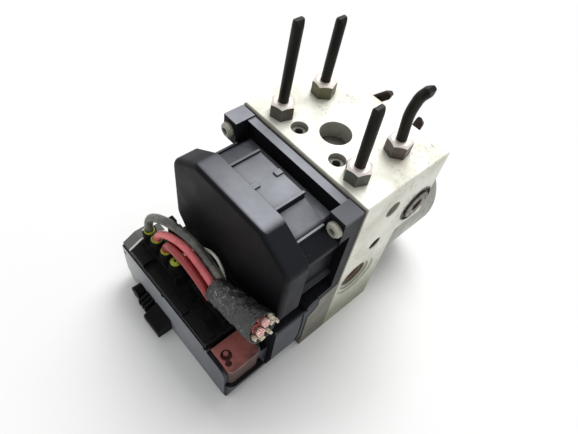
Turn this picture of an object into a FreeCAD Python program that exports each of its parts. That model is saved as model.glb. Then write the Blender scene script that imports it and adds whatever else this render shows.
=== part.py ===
import FreeCAD, Part
import math
import os

V = FreeCAD.Vector

# Frame, in millimetres. X runs across the block with zero on its centre line, Y runs back from the
# joint face of the control unit towards the motor, and Z runs up from the face that the block stands on.

# Valve block. Places across it follow its width, and heights follow its height.
DRAWN_W = 90.0
DRAWN_H = 125.0
BLOCK_W = 90.0
BLOCK_H = 125.0
ACROSS = BLOCK_W / DRAWN_W
UP = BLOCK_H / DRAWN_H
TOP_DEPTH = 64.5
MOTOR_FACE_Y = 42.0
OVERHANG_Z = 75.0 * UP
NOSE_Y = -20.0
NOSE_Z = 44.0 * UP
NOSE_DROP = 4.0
STEP_Y = -13.5
STEP_Z = 57.0 * UP
STEP_DROP = 3.0
STEP_LOW_Z = 46.0 * UP
EDGE_BREAK = 0.6

# Hydraulic ports and the tube nuts in them
PORT_X = 27.3 * ACROSS
PORT_FRONT_Y = 11.0
PORT_REAR_Y = 41.5
PORT_THREAD_R = 5.0
PORT_DEPTH = 15.0
PORT_SEAT_DRILL_R = 1.6
PORT_SEAT_DRILL_L = 3.0
BACK_PORT_X = 16.0 * ACROSS
BACK_PORT_Z = 111.0 * UP
NUT_ACROSS_FLATS = 12.0
NUT_ANGLES = (14.0, 8.0, -9.0, -20.0)
NUT_HEX_H = 8.5
NUT_CHAMFER = 1.1
NUT_SHANK_L = 11.0
THREAD_CLEARANCE = 0.05

# Brake pipes: bare steel inside the nut, coated above it, pressed shut where they were cut off
PIPE_R = 2.8
PIPE_STEEL_R = 2.4
PIPE_BORE_R = 1.6
PIPE_CLEARANCE = 0.1
PIPE_FLARE_R = 4.2
PIPE_FLARE_H = 2.0
PIPE_COAT_GAP = 0.3
PIPE_COAT_GRIP = 1.0
PIPE_PINCH_L = 3.0
PIPE_PINCH_T = 1.1
PIPE_TIP_R = 2.6
PIPE_END_FRONT_LEFT = V(2.1, 0.6, 55.0)
PIPE_END_REAR_LEFT = V(1.6, 0.4, 46.0)
PIPE_END_FRONT_RIGHT = V(0.0, 0.0, 43.5)
PIPE_BEND_REAR_RIGHT = (V(-1.3, 0.0, 24.0), V(0.6, 0.0, 35.0), V(4.6, 0.0, 42.2))
PIPE_BEND_BACK_LEFT = (V(0.0, 13.5, 0.0), V(7.5, 17.5, 7.5))
PIPE_BEND_BACK_RIGHT = (V(0.0, 12.5, 0.0), V(-1.5, 19.0, 4.0))

# Holes in the block's faces
CENTRE_HOLE_Y = 24.5
CENTRE_HOLE_R = 8.7
CENTRE_HOLE_DEPTH = 10.0
CHECK_HOLE_X = 13.9
CHECK_HOLE_Y = 11.6
CHECK_HOLE_R = 4.7
CHECK_HOLE_DEPTH = 2.6
CHECK_DRILL_R = 2.2
CHECK_DRILL_DEPTH = 10.0
SIDE_HOLE_R = 5.2
SIDE_HOLE_Y = 27.3
SIDE_HOLE_Z = 105.2 * UP
SIDE_HOLE_DEPTH = 8.0
MOUNT_HOLE_R = 4.25
MOUNT_HOLE_Y = 24.3
MOUNT_HOLE_Z = 76.3 * UP
MOUNT_HOLE_DEPTH = 12.0
MOUNT_HOLE_SINK = 0.6
DRILL_POINT_L = 2.5

# Solenoid valves
VALVE_PITCH = 18.2 * ACROSS
VALVE_COLUMNS = (-1.5 * VALVE_PITCH, -0.5 * VALVE_PITCH, 0.5 * VALVE_PITCH, 1.5 * VALVE_PITCH)
INLET_ROW_Z = 100.0 * UP
OUTLET_ROW_Z = 79.0 * UP
VALVE_R = 6.0
VALVE_DEPTH = 17.0
VALVE_FLANGE_R = 7.4
VALVE_FLANGE_T = 2.0
VALVE_TUBE_R = 4.0
VALVE_TUBE_L = 20.0
VALVE_TUBE_WALL = 0.9
VALVE_SEAT_Y = -4.0
VALVE_PASSAGE_R = 0.8
PLUNGER_CLEARANCE = 0.05
PLUNGER_STROKE = 0.3
PLUNGER_END_GAP = 0.1
PLUNGER_NOSE_R = 1.1
PLUNGER_NOSE_L = 2.0
COIL_R = VALVE_PITCH * 0.467
COIL_WALL = 0.9
COIL_START_Y = -2.6
COIL_L = 17.0
SMALL_EDGE = 0.8

# Pump elements, one each side of the motor's eccentric
PUMP_Y = 17.6
SPOTFACE_R = 15.0
SPOTFACE_DEPTH = 0.7
SPOTFACE_STEP_R = 11.8
SPOTFACE_STEP_DEPTH = 1.9
PLUG_R = 8.7
PLUG_RECESS = 3.2
PLUG_L = 7.0
PLUG_SOCKET_R = 6.3
PLUG_SOCKET_DEPTH = 3.0
SLEEVE_R = 6.5
SLEEVE_START = 13.5
SLEEVE_END_WALL = 2.0
PUMP_PISTON_R = 3.25
PUMP_PISTON_L = 13.5
RUNNING_CLEARANCE = 0.05
PUMP_SPRING_WIRE_R = 0.4
PUMP_SPRING_TURNS = 4
SPRING_STEPS_PER_TURN = 14
SPRING_WIRE_SIDES = 8

# Low-pressure accumulators in the block's overhang
ACC_Y = 53.0
ACC_Z = 91.0 * UP
ACC_R = 10.6
ACC_BOTTOM = 27.0
ACC_PISTON_L = 7.0
ACC_PISTON_WALL = 2.0
ACC_PISTON_GAP = 0.3
ACC_COVER_R = 12.2
ACC_COVER_T = 3.0
ACC_COVER_PROUD = 1.3
ACC_GROOVE_IN_R = 9.2
ACC_GROOVE_OUT_R = 11.5
ACC_GROOVE_DEPTH = 1.8
ACC_DIMPLE_R = 4.3
ACC_DIMPLE_DEPTH = 2.4
ACC_VENT_R = 1.0
ACC_PIT_R = 0.75
ACC_PIT_CIRCLE_R = 6.9
ACC_PIT_COUNT = 8
ACC_PIT_DEPTH = 1.0
ACC_SPRING_R = 7.6
ACC_SPRING_WIRE_R = 0.8
ACC_SPRING_TURNS = 3

# Pump motor
MOTOR_Z = 47.0 * UP
CAN_R = 41.0 * UP
CAN_WALL = 2.0
CAN_END_Y = 104.0
CAN_EDGE_R = 7.0
CAN_RELIEF = 0.5
BEARING_BOSS_R = 13.5
BEARING_BOSS_L = 5.0
EAR_X = 36.5 * ACROSS
EAR_Z = 11.5 * UP
EAR_R = 6.5
EAR_T = 3.0
MOTOR_SCREW_R = 3.0
MOTOR_SCREW_HEAD_AF = 9.4
MOTOR_SCREW_HEAD_H = 4.0
MOTOR_SCREW_L = 12.0
SCREW_HOLE_GAP = 0.2
SHAFT_R = 5.0
SHAFT_END_R = 4.0
SHAFT_FIT = 0.02
CHAMBER_R = 12.0
CHAMBER_END_Y = 6.0
FRONT_BEARING_R = 13.0
FRONT_BEARING_L = 8.0
REAR_BEARING_R = 11.0
REAR_BEARING_L = 7.0
BEARING_FIT = 0.03
ECCENTRIC_THROW = 1.0
ECCENTRIC_R = 7.0
ECCENTRIC_L = 8.0
ECCENTRIC_RING_R = 9.0
SWEEP_GAP = 0.3
CORE_R = CAN_R - 12.5
CORE_START_Y = 62.0
CORE_END_ROOM = 16.0
CORE_L = CAN_END_Y - CORE_START_Y - CORE_END_ROOM
SLOT_COUNT = 12
SLOT_CIRCLE_R = CORE_R - 6.5
SLOT_R = 3.2
SLOT_MOUTH = 2.0
WINDING_GAP = 0.3
WINDING_END_L = 6.0
WINDING_BULGE = 1.6
COMMUTATOR_R = 10.0
COMMUTATOR_START_Y = 46.0
COMMUTATOR_L = 8.0
AIR_GAP = 1.0
MAGNET_COUNT = 4
MAGNET_ANGLE = 70.0
MAGNET_OVERHANG = 3.0
BRUSH_PLATE_T = 2.5
BRUSH_W = 7.0
BRUSH_H = 6.0
BRUSH_L = 10.0
BRUSH_GAP = 0.3
HOLDER_START = 1.2
HOLDER_WALL = 1.5
HOLDER_L = 18.0
BRUSH_SPRING_WIRE_R = 0.5
BRUSH_SPRING_TURNS = 3

# Control unit housing and cover
GASKET_T = 1.0
UNIT_CX = -2.0
UNIT_HALF_W = 45.5 * ACROSS
UNIT_TOP_Z = 121.0 * UP
UNIT_SHOULDER_Z = 107.5 * UP
UNIT_SHOULDER_IN = 21.0 * ACROSS
UNIT_SKIRT_Z = 64.0 * UP
UNIT_BOTTOM_Z = 52.0 * UP
UNIT_BOTTOM_IN = 9.5
UNIT_CORNER_R = 9.0
SEAM_Y = -31.0
FRONT_Y = -45.0
COVER_WALL = 2.2
COVER_EDGE_R = 3.0
FLANGE_HALF_W = BLOCK_W / 2 - 0.5
FLANGE_Y = -6.0
FLANGE_TOP_Z = 123.5 * UP
FLANGE_LOW_Z = 58.0 * UP
EAR_BLOCK_Y = -13.5
EAR_BLOCK_TOP_Z = 124.5 * UP
EAR_BLOCK_LOW_Z = 109.5 * UP
EAR_BLOCK_IN_X = BLOCK_W / 2 - 10.5
UNIT_SCREW_X = BLOCK_W / 2 - 5.0
UNIT_SCREW_Z = 117.2 * UP
UNIT_SCREW_R = 2.5
UNIT_SCREW_HEAD_R = 4.3
UNIT_SCREW_HEAD_H = 3.0
UNIT_SCREW_EDGE = 1.6
UNIT_SCREW_SOCKET_R = 1.7
UNIT_SCREW_INTO_BLOCK = 14.0
DECK_HALF_W = 17.4 * ACROSS
DECK_Z = 119.6 * UP
DECK_TAB_W = 3.2
DECK_TAB_L = 4.0
CHANNEL_Y = -12.5
CHANNEL_Z = 113.2 * UP
RIB_W = 1.4
RIB_PROUD = 1.3
SIDE_DROP = 2.4
COIL_BAY_HALF_W = 1.5 * VALVE_PITCH + COIL_R + 0.7
COIL_BAY_LOW_Z = OUTLET_ROW_Z - COIL_R - 2.0
PILLOW_X = COIL_BAY_HALF_W + 4.5
PILLOW_Z = 101.0 * UP
PILLOW_MID_X = 33.0 * ACROSS
PILLOW_MID_Z = 112.5 * UP
SIDE_RECESS_X = COIL_BAY_HALF_W + 1.9
LEDGE_HIGH_Z = 97.0 * UP
LEDGE_LOW_Z = 72.0 * UP
LEDGE_T = 2.2
REAR_LOW_Z = 60.0 * UP
WEB_Y = -29.0
BOARD_T = 1.6
BOARD_Y = -34.0
BOARD_HALF_W = 37.0 * ACROSS
BOARD_LOW_Z = 60.0 * UP
BOARD_TOP_Z = 108.0 * UP
STANDOFF_R = 2.5

# Foot of the housing, and the connector trough moulded in one with it
BASE_Y = -20.8
BASE_TOP_Z = 50.0 * UP
BASE_HALF_W = BLOCK_W / 2 - 0.5
BASE_LOW_IN = 3.0
BASE_LOW_Z = 14.0
SADDLE_T = 2.6
NECK_HALF_W = 37.0 * ACROSS
BOSS_Y = -18.5
BOSS_R = 4.6
SEAM_GROOVE_R = 0.9
TROUGH_X0 = -64.0
TROUGH_X1 = 44.5
TROUGH_Y = -76.0
TROUGH_BACK_Y = -50.0
TROUGH_TOP_Z = 36.0
TROUGH_WALL = 2.2
TROUGH_FLOOR_Z = 8.0
TROUGH_END_Z = 17.0
TROUGH_END_R = 6.0
TROUGH_CLIP = 12.0
CHEEK_X1 = 40.0
CHEEK_TOP_Z = 33.5
CHEEK_R = 7.0
BRIDGE_TOP_Z = 26.0
STRIP_HOLE_X = -61.2
STRIP_HOLE_Z = 30.0
STRIP_HOLE_R = 1.3
STRIP_NOTCHES_X = (-20.7, 20.6)
STRIP_NOTCH_W = 2.0
STRIP_NOTCH_DEPTH = 2.5
LATCH_X0 = -49.0
LATCH_X1 = -13.0
LATCH_REACH = 10.0
PIN_ROWS_Y = (-58.2, -63.0, -67.8)
PIN_COLUMNS = 12
PIN_PITCH = 6.2
PIN_X0 = -54.0
PIN_TOP_Z = 30.0
PIN_W = 1.0

# Plug and its lock slide
PLUG_X0 = -61.5
PLUG_X1 = 22.5
PLUG_DECK_Z = 36.3
PLUG_TOP_Z = 40.5
PLUG_SKIRT_Z = 20.0
PLUG_SKIRT_Y0 = -71.0
PLUG_SKIRT_Y1 = -55.0
PLUG_SLOT_W = 3.0
PLUG_SLOT_TOP_Z = 37.0
PLUG_RAMP_X1 = -52.0
PLUG_TABS_X = (-43.0, -35.5)
PLUG_TAB_W = 4.5
PLUG_TAB_Z = 68.0
TOWER_X1 = -18.0
TOWER_Y0 = -67.0
TOWER_Y1 = -56.5
SLIDE_RAIL_T = 2.2
SLIDE_RAIL_Z0 = 17.6
SLIDE_RAIL_Z1 = 31.0
SLIDE_RAIL_X0 = -58.0
SLIDE_GAP = 0.3
HANDLE_X0 = 24.2
HANDLE_X1 = 42.0
HANDLE_Z1 = 35.5
HANDLE_EDGE_R = 3.0
HANDLE_POCKET_X = 32.1
HANDLE_POCKET_Y = -68.8
HANDLE_POCKET_R = 3.3
HANDLE_POCKET_DEPTH = 5.0
HANDLE_HOLE_X = 36.6
HANDLE_HOLE_Y = -70.6
HANDLE_HOLE_R = 1.9
SLIDE_TRAVEL = 16.0
PLUG_LIFT = 4.8
CAM_PIN_R = 1.4
CAM_PIN_Z = 21.5
CAM_PINS_X = (-30.0, 14.0)

# Wire exits on the plug, and the cut harness
SEAL_Y = -62.0
SEAL_TOP_Z = 53.0
SEALS_X = (-51.5, -43.8, -33.8, -24.4)
SEAL_R = 3.3
SEAL_L = 5.0
SEAL_LIP = 1.2
TURRET_R = 4.2
RED_WIRE_R = 2.3
DARK_WIRE_R = 2.6
WHITE_WIRE_R = 0.9
WRAP_MOUTH_R = 7.4
WRAP_END_R = 9.6
WRAP_START = V(7.0, -57.0, 60.0)
WRAP_END = V(42.5, -55.0, 70.0)

# Cut ends on the tape's far face: distance to the front, distance down, radius, length out of the tape
CUT_ENDS = ((-1.0, -5.2, 2.5, 3.5), (2.8, -1.1, 2.7, 3.0), (-4.9, -0.9, 1.5, 4.2), (1.7, 5.8, 1.7, 3.4),
            (5.7, 3.0, 1.3, 2.6),
            (-5.7, -4.8, 1.1, 4.6), (-8.1, 0.3, 1.1, 5.2), (-2.9, 4.8, 1.1, 4.8))

# Routes of the wires from their seals to the tape, chosen by hand
RED_WIRE_A_ROUTE = (V(-43.8, -62, 50), V(-43.3, -62, 59), V(-32, -59.2, 68), V(-13, -57.4, 71),
                    V(7, -57.5, 61))
RED_WIRE_B_ROUTE = (V(-33.8, -62, 50), V(-33.8, -62.5, 59), V(-25, -62.9, 67), V(-9, -62.2, 67.5),
                    V(8, -61.6, 57))
DARK_WIRE_ROUTE = (V(-51.5, -62, 50), V(-53.2, -61.5, 59), V(-49, -59.6, 68), V(-34, -55.6, 73),
                   V(-13, -52.2, 71.6), V(6, -52.4, 62.2))
WHITE_WIRE_ROUTE = (V(-24.4, -62, 50), V(-24, -60.5, 55), V(-19.5, -50.2, 64), V(-7, -48.2, 71.5),
                    V(2, -48.2, 64), V(7, -50.4, 56.5))


def box(x0, x1, y0, y1, z0, z1):
    """A block between two corners, given in any order."""
    low = V(min(x0, x1), min(y0, y1), min(z0, z1))
    return Part.makeBox(abs(x1 - x0), abs(y1 - y0), abs(z1 - z0), low)


def rod_x(y, z, radius, x0, x1):
    return Part.makeCylinder(radius, abs(x1 - x0), V(min(x0, x1), y, z), V(1, 0, 0))


def rod_y(x, z, radius, y0, y1):
    return Part.makeCylinder(radius, abs(y1 - y0), V(x, min(y0, y1), z), V(0, 1, 0))


def rod_z(x, y, radius, z0, z1):
    return Part.makeCylinder(radius, abs(z1 - z0), V(x, y, min(z0, z1)), V(0, 0, 1))


def turned(profile, origin, direction):
    """A turned solid: profile holds (distance along the axis, radius) pairs, closed on itself."""
    points = [V(radius, 0, along) for along, radius in profile]
    face = Part.Face(Part.makePolygon(points + points[:1]))
    solid = face.revolve(V(0, 0, 0), V(0, 0, 1), 360)
    solid.Placement = FreeCAD.Placement(origin, FreeCAD.Rotation(V(0, 0, 1), direction))
    return Part.Solid(solid) if solid.ShapeType != "Solid" else solid


def fused(shapes):
    whole = shapes[0].fuse(list(shapes[1:])) if len(shapes) > 1 else shapes[0]
    return whole.removeSplitter()


def cut_all(shape, tools):
    return shape.cut(Part.makeCompound(list(tools)))


def mirrored(shape):
    """The same piece on the other side of the block's centre plane."""
    return shape.mirror(V(0, 0, 0), V(1, 0, 0))


def pair(shape):
    return Part.makeCompound([shape, mirrored(shape)])


def corner_arcs(points, radii):
    """A closed outline with each corner rounded by a tangent arc. A radius of zero keeps it sharp."""
    count = len(points)
    spans = []
    for i, corner in enumerate(points):
        before = (points[i - 1] - corner).normalize()
        after = (points[(i + 1) % count] - corner).normalize()
        if radii[i] <= 0:
            spans.append((corner, None, corner))
            continue
        half = before.getAngle(after) / 2
        reach = radii[i] / math.tan(half)
        bisector = (before + after).normalize()
        middle = corner + bisector * (radii[i] / math.sin(half) - radii[i])
        spans.append((corner + before * reach, middle, corner + after * reach))
    edges = []
    for i, (start, middle, end) in enumerate(spans):
        if middle is not None:
            edges.append(Part.Arc(start, middle, end).toShape())
        following = spans[(i + 1) % count][0]
        if end.distanceToPoint(following) > 1e-6:
            edges.append(Part.makeLine(end, following))
    return Part.Wire(edges)


def plate_y(outline, radii, y0, y1):
    """A prism along Y whose outline is given as (x, z) corners."""
    wire = corner_arcs([V(x, min(y0, y1), z) for x, z in outline], radii)
    return Part.Face(wire).extrude(V(0, abs(y1 - y0), 0))


def plate_x(outline, radii, x0, x1):
    """A prism along X whose outline is given as (y, z) corners."""
    wire = corner_arcs([V(min(x0, x1), y, z) for y, z in outline], radii)
    return Part.Face(wire).extrude(V(abs(x1 - x0), 0, 0))


def route_wire(points, bend_radius=None):
    """Straight runs joined by tangent arcs, each as large as its runs allow where no bend radius is given."""
    edges = []
    radii = []
    here = points[0]
    for i in range(1, len(points) - 1):
        back = points[i - 1] - points[i]
        ahead = points[i + 1] - points[i]
        turn = math.pi - back.getAngle(ahead)
        shorter = min(back.Length, ahead.Length)
        radius = bend_radius or 0.45 * shorter / math.tan(turn / 2)
        reach = radius * math.tan(turn / 2)
        back.normalize()
        ahead.normalize()
        start = points[i] + back * reach
        end = points[i] + ahead * reach
        middle = points[i] + (back + ahead).normalize() * (radius / math.cos(turn / 2) - radius)
        if here.distanceToPoint(start) > 1e-6:
            edges.append(Part.makeLine(here, start))
        edges.append(Part.Arc(start, middle, end).toShape())
        radii.append(radius)
        here = end
    edges.append(Part.makeLine(here, points[-1]))
    return Part.Wire(edges), radii


def tube(points, radius, bend_radius=None, name=None):
    """A round cord or rod along a route."""
    path, radii = route_wire(points, bend_radius)
    start = points[0]
    along = (points[1] - points[0]).normalize()
    ring = Part.Wire(Part.makeCircle(radius, start, along))
    solid = path.makePipeShell([ring], True, False)
    if name:
        text = ", ".join("%.1f" % r for r in radii)
        section = math.pi * radius ** 2 * path.Length
        print("%s: length %.1f, bend radii %s, volume ratio %.4f" % (name, path.Length, text,
                                                                     solid.Volume / section))
    return solid


def pinch(start, along):
    """Last stretch of a pipe, drawn in a little and cut to a blunt chisel by the jaws that closed it."""
    jaw = along.cross(V(0, 1, 0)).normalize()
    side = jaw.cross(along).normalize()
    wide = PIPE_R + 1
    low = PIPE_PINCH_L * 0.15
    high = PIPE_PINCH_L + 1
    slope = [V(0, PIPE_R, low), V(0, PIPE_PINCH_T, PIPE_PINCH_L), V(0, PIPE_PINCH_T, high),
             V(0, wide, high), V(0, wide, low)]
    upper = Part.Face(Part.makePolygon(slope + slope[:1])).extrude(V(2 * wide, 0, 0))
    upper.translate(V(-wide, 0, 0))
    lower = upper.mirror(V(0, 0, 0), V(0, 1, 0))
    drawn = Part.makeCone(PIPE_R, PIPE_TIP_R, PIPE_PINCH_L)
    end = drawn.cut(Part.makeCompound([upper, lower]))
    end.Placement = FreeCAD.Placement(start, FreeCAD.Rotation(side, jaw, along, "ZXY"))
    return end


def helix_spring(length, mean_radius, wire_radius, turns, origin, direction):
    """A compression spring standing on origin, coiled from short straight lengths of eight-sided wire."""
    rise = length - 2 * wire_radius
    steps = turns * SPRING_STEPS_PER_TURN
    points = []
    for i in range(steps + 1):
        angle = 2 * math.pi * i / SPRING_STEPS_PER_TURN
        points.append(V(mean_radius * math.cos(angle), mean_radius * math.sin(angle),
                        wire_radius + rise * i / steps))
    along = (points[1] - points[0]).normalize()
    outward = V(1, 0, 0)
    upward = along.cross(outward).normalize()
    corners = []
    for i in range(SPRING_WIRE_SIDES + 1):
        angle = 2 * math.pi * i / SPRING_WIRE_SIDES
        corners.append(points[0] + (outward * math.cos(angle) + upward * math.sin(angle)) * wire_radius)
    solid = Part.makePolygon(points).makePipeShell([Part.makePolygon(corners)], True, False, 1)
    solid.Placement = FreeCAD.Placement(origin, FreeCAD.Rotation(V(0, 0, 1), direction)) * solid.Placement
    return solid


def hexagon(across_flats, height, origin, direction, angle=0):
    """A hexagonal head with its corners chamfered at the outer end."""
    corner = across_flats / math.sqrt(3)
    turns = [math.radians(60 * i + angle) for i in range(7)]
    prism = Part.Face(Part.makePolygon([V(corner * math.cos(a), corner * math.sin(a), 0) for a in turns]))
    prism = prism.extrude(V(0, 0, height))
    edge = height - NUT_CHAMFER
    cap = turned([(0, 0), (0, corner), (edge, corner), (height, corner - 1.8 * NUT_CHAMFER), (height, 0)],
                 V(0, 0, 0), V(0, 0, 1))
    head = prism.common(cap)
    head.Placement = FreeCAD.Placement(origin, FreeCAD.Rotation(V(0, 0, 1), direction))
    return head


def block_front(gap):
    """Corners of the block's front, (y, z), from the joint face down to the ground, moved out by gap."""
    return [(0, STEP_Z + gap), (STEP_Y - gap, STEP_Z - STEP_DROP + gap), (STEP_Y - gap, STEP_LOW_Z + gap),
            (NOSE_Y - gap, NOSE_Z - NOSE_DROP + gap), (NOSE_Y - gap, 0)]


SLEEVE_END = BLOCK_W / 2 - PLUG_RECESS - PLUG_L
PISTON_START = ECCENTRIC_RING_R + ECCENTRIC_THROW + SWEEP_GAP
UPPER_PORTS = [(x, y) for y in (PORT_FRONT_Y, PORT_REAR_Y) for x in (-PORT_X, PORT_X)]
VALVES = [(x, z) for z in (INLET_ROW_Z, OUTLET_ROW_Z) for x in VALVE_COLUMNS]


def block_body():
    """The machined block: one side profile across the full width, arched over the motor can."""
    profile = [(0, BLOCK_H)] + block_front(0)
    profile += [(MOTOR_FACE_Y, 0), (MOTOR_FACE_Y, OVERHANG_Z), (TOP_DEPTH, OVERHANG_Z),
                (TOP_DEPTH, BLOCK_H)]
    body = plate_x(profile, [0] * len(profile), -BLOCK_W / 2, BLOCK_W / 2)
    arch = rod_y(0, MOTOR_Z, CAN_R + CAN_RELIEF, MOTOR_FACE_Y, TOP_DEPTH + 1)
    return body.cut(arch)


def port_cut(origin, inward):
    """Threaded port with a drilled seat, cut from origin along inward."""
    r = PORT_THREAD_R + THREAD_CLEARANCE
    seat = PORT_SEAT_DRILL_R
    cone = PORT_DEPTH + 1.5
    deep = cone + PORT_SEAT_DRILL_L
    profile = [(-1, 0), (-1, r), (PORT_DEPTH, r), (cone, seat), (deep, seat), (deep, 0)]
    return turned(profile, origin, inward)


def valve_bore_cut(x, z):
    r = VALVE_R
    flange = VALVE_FLANGE_R + 0.1
    profile = [(-1, 0), (-1, flange), (VALVE_FLANGE_T, flange), (VALVE_FLANGE_T, r), (VALVE_DEPTH, r),
               (VALVE_DEPTH + 2, PORT_SEAT_DRILL_R), (VALVE_DEPTH + 2, 0)]
    return turned(profile, V(x, 0, z), V(0, 1, 0))


def pump_bore_cut():
    """Spotface, stepped seat and bore for one pump element."""
    face = BLOCK_W / 2
    thread = PLUG_R + THREAD_CLEARANCE
    inner = face - CHAMBER_R + 4
    profile = [(-1, 0), (-1, SPOTFACE_R), (SPOTFACE_DEPTH, SPOTFACE_R), (SPOTFACE_DEPTH, SPOTFACE_STEP_R),
               (SPOTFACE_STEP_DEPTH, SPOTFACE_STEP_R), (SPOTFACE_STEP_DEPTH, thread + SMALL_EDGE),
               (SPOTFACE_STEP_DEPTH + SMALL_EDGE, thread), (face - SLEEVE_END, thread),
               (face - SLEEVE_END, SLEEVE_R),
               (inner, SLEEVE_R), (inner, 0)]
    return turned(profile, V(face, PUMP_Y, MOTOR_Z), V(-1, 0, 0))


def accumulator_bore_cut():
    face = BLOCK_W / 2
    profile = [(-1, 0), (-1, ACC_COVER_R), (ACC_COVER_T, ACC_COVER_R), (ACC_COVER_T, ACC_R),
               (face - ACC_BOTTOM, ACC_R), (face - ACC_BOTTOM, 0)]
    return turned(profile, V(face, ACC_Y, ACC_Z), V(-1, 0, 0))


def side_cuts():
    """Everything machined from one side face."""
    face = BLOCK_W / 2
    cone = MOUNT_HOLE_R + MOUNT_HOLE_SINK
    profile = [(-1, 0), (-1, cone + 1), (0, cone), (MOUNT_HOLE_SINK, MOUNT_HOLE_R),
               (MOUNT_HOLE_DEPTH, MOUNT_HOLE_R),
               (MOUNT_HOLE_DEPTH + DRILL_POINT_L, 0)]
    mount = turned(profile, V(face, MOUNT_HOLE_Y, MOUNT_HOLE_Z), V(-1, 0, 0))
    blind = rod_x(SIDE_HOLE_Y, SIDE_HOLE_Z, SIDE_HOLE_R, face - SIDE_HOLE_DEPTH, face + 1)
    return [pump_bore_cut(), accumulator_bore_cut(), mount, blind]


def motor_chamber_cut():
    profile = [(-1, 0), (-1, FRONT_BEARING_R), (FRONT_BEARING_L, FRONT_BEARING_R),
               (FRONT_BEARING_L, CHAMBER_R),
               (MOTOR_FACE_Y - CHAMBER_END_Y, CHAMBER_R), (MOTOR_FACE_Y - CHAMBER_END_Y, 0)]
    return turned(profile, V(0, MOTOR_FACE_Y, MOTOR_Z), V(0, -1, 0))


def top_cuts():
    tools = [rod_z(0, CENTRE_HOLE_Y, CENTRE_HOLE_R, BLOCK_H - CENTRE_HOLE_DEPTH, BLOCK_H + 1)]
    for x in (-CHECK_HOLE_X, CHECK_HOLE_X):
        tools.append(rod_z(x, CHECK_HOLE_Y, CHECK_HOLE_R, BLOCK_H - CHECK_HOLE_DEPTH, BLOCK_H + 1))
        tools.append(rod_z(x, CHECK_HOLE_Y, CHECK_DRILL_R, BLOCK_H - CHECK_DRILL_DEPTH, BLOCK_H + 1))
    tools += [port_cut(V(x, y, BLOCK_H), V(0, 0, -1)) for x, y in UPPER_PORTS]
    tools += [port_cut(V(x, TOP_DEPTH, BACK_PORT_Z), V(0, -1, 0)) for x in (-BACK_PORT_X, BACK_PORT_X)]
    return tools


def screw_hole_cuts():
    """Tapped holes for the control unit's screws and for the motor's screws."""
    tools = []
    for x in (-UNIT_SCREW_X, UNIT_SCREW_X):
        tools.append(rod_y(x, UNIT_SCREW_Z, UNIT_SCREW_R, -1, UNIT_SCREW_INTO_BLOCK))
    for x in (-EAR_X, EAR_X):
        tools.append(rod_y(x, EAR_Z, MOTOR_SCREW_R, MOTOR_FACE_Y - MOTOR_SCREW_L, MOTOR_FACE_Y + 1))
    return tools


def valve_block():
    tools = top_cuts() + screw_hole_cuts() + [motor_chamber_cut()]
    tools += [valve_bore_cut(x, z) for x, z in VALVES]
    for cut in side_cuts():
        tools += [cut, mirrored(cut)]
    block = cut_all(block_body(), tools)
    rim = [e for e in block.Edges if is_outer_top_edge(e)]
    return block.makeChamfer(EDGE_BREAK, rim)


def is_outer_top_edge(edge):
    """The four straight edges round the top face."""
    box_ = edge.BoundBox
    flat = box_.ZMin > BLOCK_H - 1e-4 and isinstance(edge.Curve, Part.Line)
    across = box_.XLength > BLOCK_W - 1 and (abs(box_.YMin) < 1e-4 or abs(box_.YMin - TOP_DEPTH) < 1e-4)
    along = box_.YLength > TOP_DEPTH - 1 and abs(abs(box_.XMin) - BLOCK_W / 2) < 1e-4
    return flat and (across or along)


def tube_nut(origin, outward, angle=0):
    """A tube nut screwed in up to its hexagon, with the bare pipe's hole through it."""
    head = hexagon(NUT_ACROSS_FLATS, NUT_HEX_H, origin, outward, angle)
    base = origin - outward * NUT_SHANK_L
    shank = turned([(0, 0), (0, PORT_THREAD_R - SMALL_EDGE), (SMALL_EDGE, PORT_THREAD_R),
                    (NUT_SHANK_L, PORT_THREAD_R),
                    (NUT_SHANK_L, 0)], base, outward)
    hole_r = PIPE_STEEL_R + PIPE_CLEARANCE
    through = NUT_SHANK_L + NUT_HEX_H + 1
    hole = turned([(-1, 0), (-1, hole_r), (through, hole_r), (through, 0)], base, outward)
    return fused([head, shank]).cut(hole)


def tube_nuts_top():
    nuts = []
    for (x, y), angle in zip(UPPER_PORTS, NUT_ANGLES):
        nuts.append(tube_nut(V(x, y, BLOCK_H), V(0, 0, 1), angle))
    return Part.makeCompound(nuts)


def tube_nuts_back():
    return Part.makeCompound([tube_nut(V(x, TOP_DEPTH, BACK_PORT_Z), V(0, 1, 0)) for x in (-BACK_PORT_X,
                                                                                           BACK_PORT_X)])


def bare_pipe(port, outward, radius):
    """Round bar from the seat in the port to a little beyond the nut."""
    seat = port - outward * PORT_DEPTH
    reach = PORT_DEPTH + NUT_HEX_H + PIPE_COAT_GAP + PIPE_COAT_GRIP
    return Part.makeCylinder(radius, reach, seat, outward)


def flare(port, outward):
    """Flare that the nut presses on its seat."""
    slope = PIPE_FLARE_H * 0.6
    profile = [(0, 0), (0, PIPE_STEEL_R), (PIPE_FLARE_H - slope, PIPE_FLARE_R),
               (PIPE_FLARE_H, PIPE_FLARE_R - SMALL_EDGE),
               (PIPE_FLARE_H, 0)]
    return turned(profile, port - outward * PORT_DEPTH, outward)


def brake_pipe(port, outward, bends):
    """A pipe from its flare in the port through the bends, given from the port's mouth, to its closed end."""
    mouth = port + outward * (NUT_HEX_H + PIPE_COAT_GAP)
    points = [mouth] + [port + bend for bend in bends]
    along = (points[-1] - points[-2]).normalize()
    points[-1] = points[-1] - along * PIPE_PINCH_L
    coat = [tube(points, PIPE_R), pinch(points[-1], along)]
    closed = (points[-1] - points[-2]).Length * 0.4
    hollow = points[:-1] + [points[-1] - along * closed]
    whole = fused([bare_pipe(port, outward, PIPE_STEEL_R), flare(port, outward)] + coat)
    knee = Part.makeSphere(PIPE_BORE_R, mouth)
    return cut_all(whole, [bare_pipe(port, outward, PIPE_BORE_R), knee]).cut(tube(hollow, PIPE_BORE_R))


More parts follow.
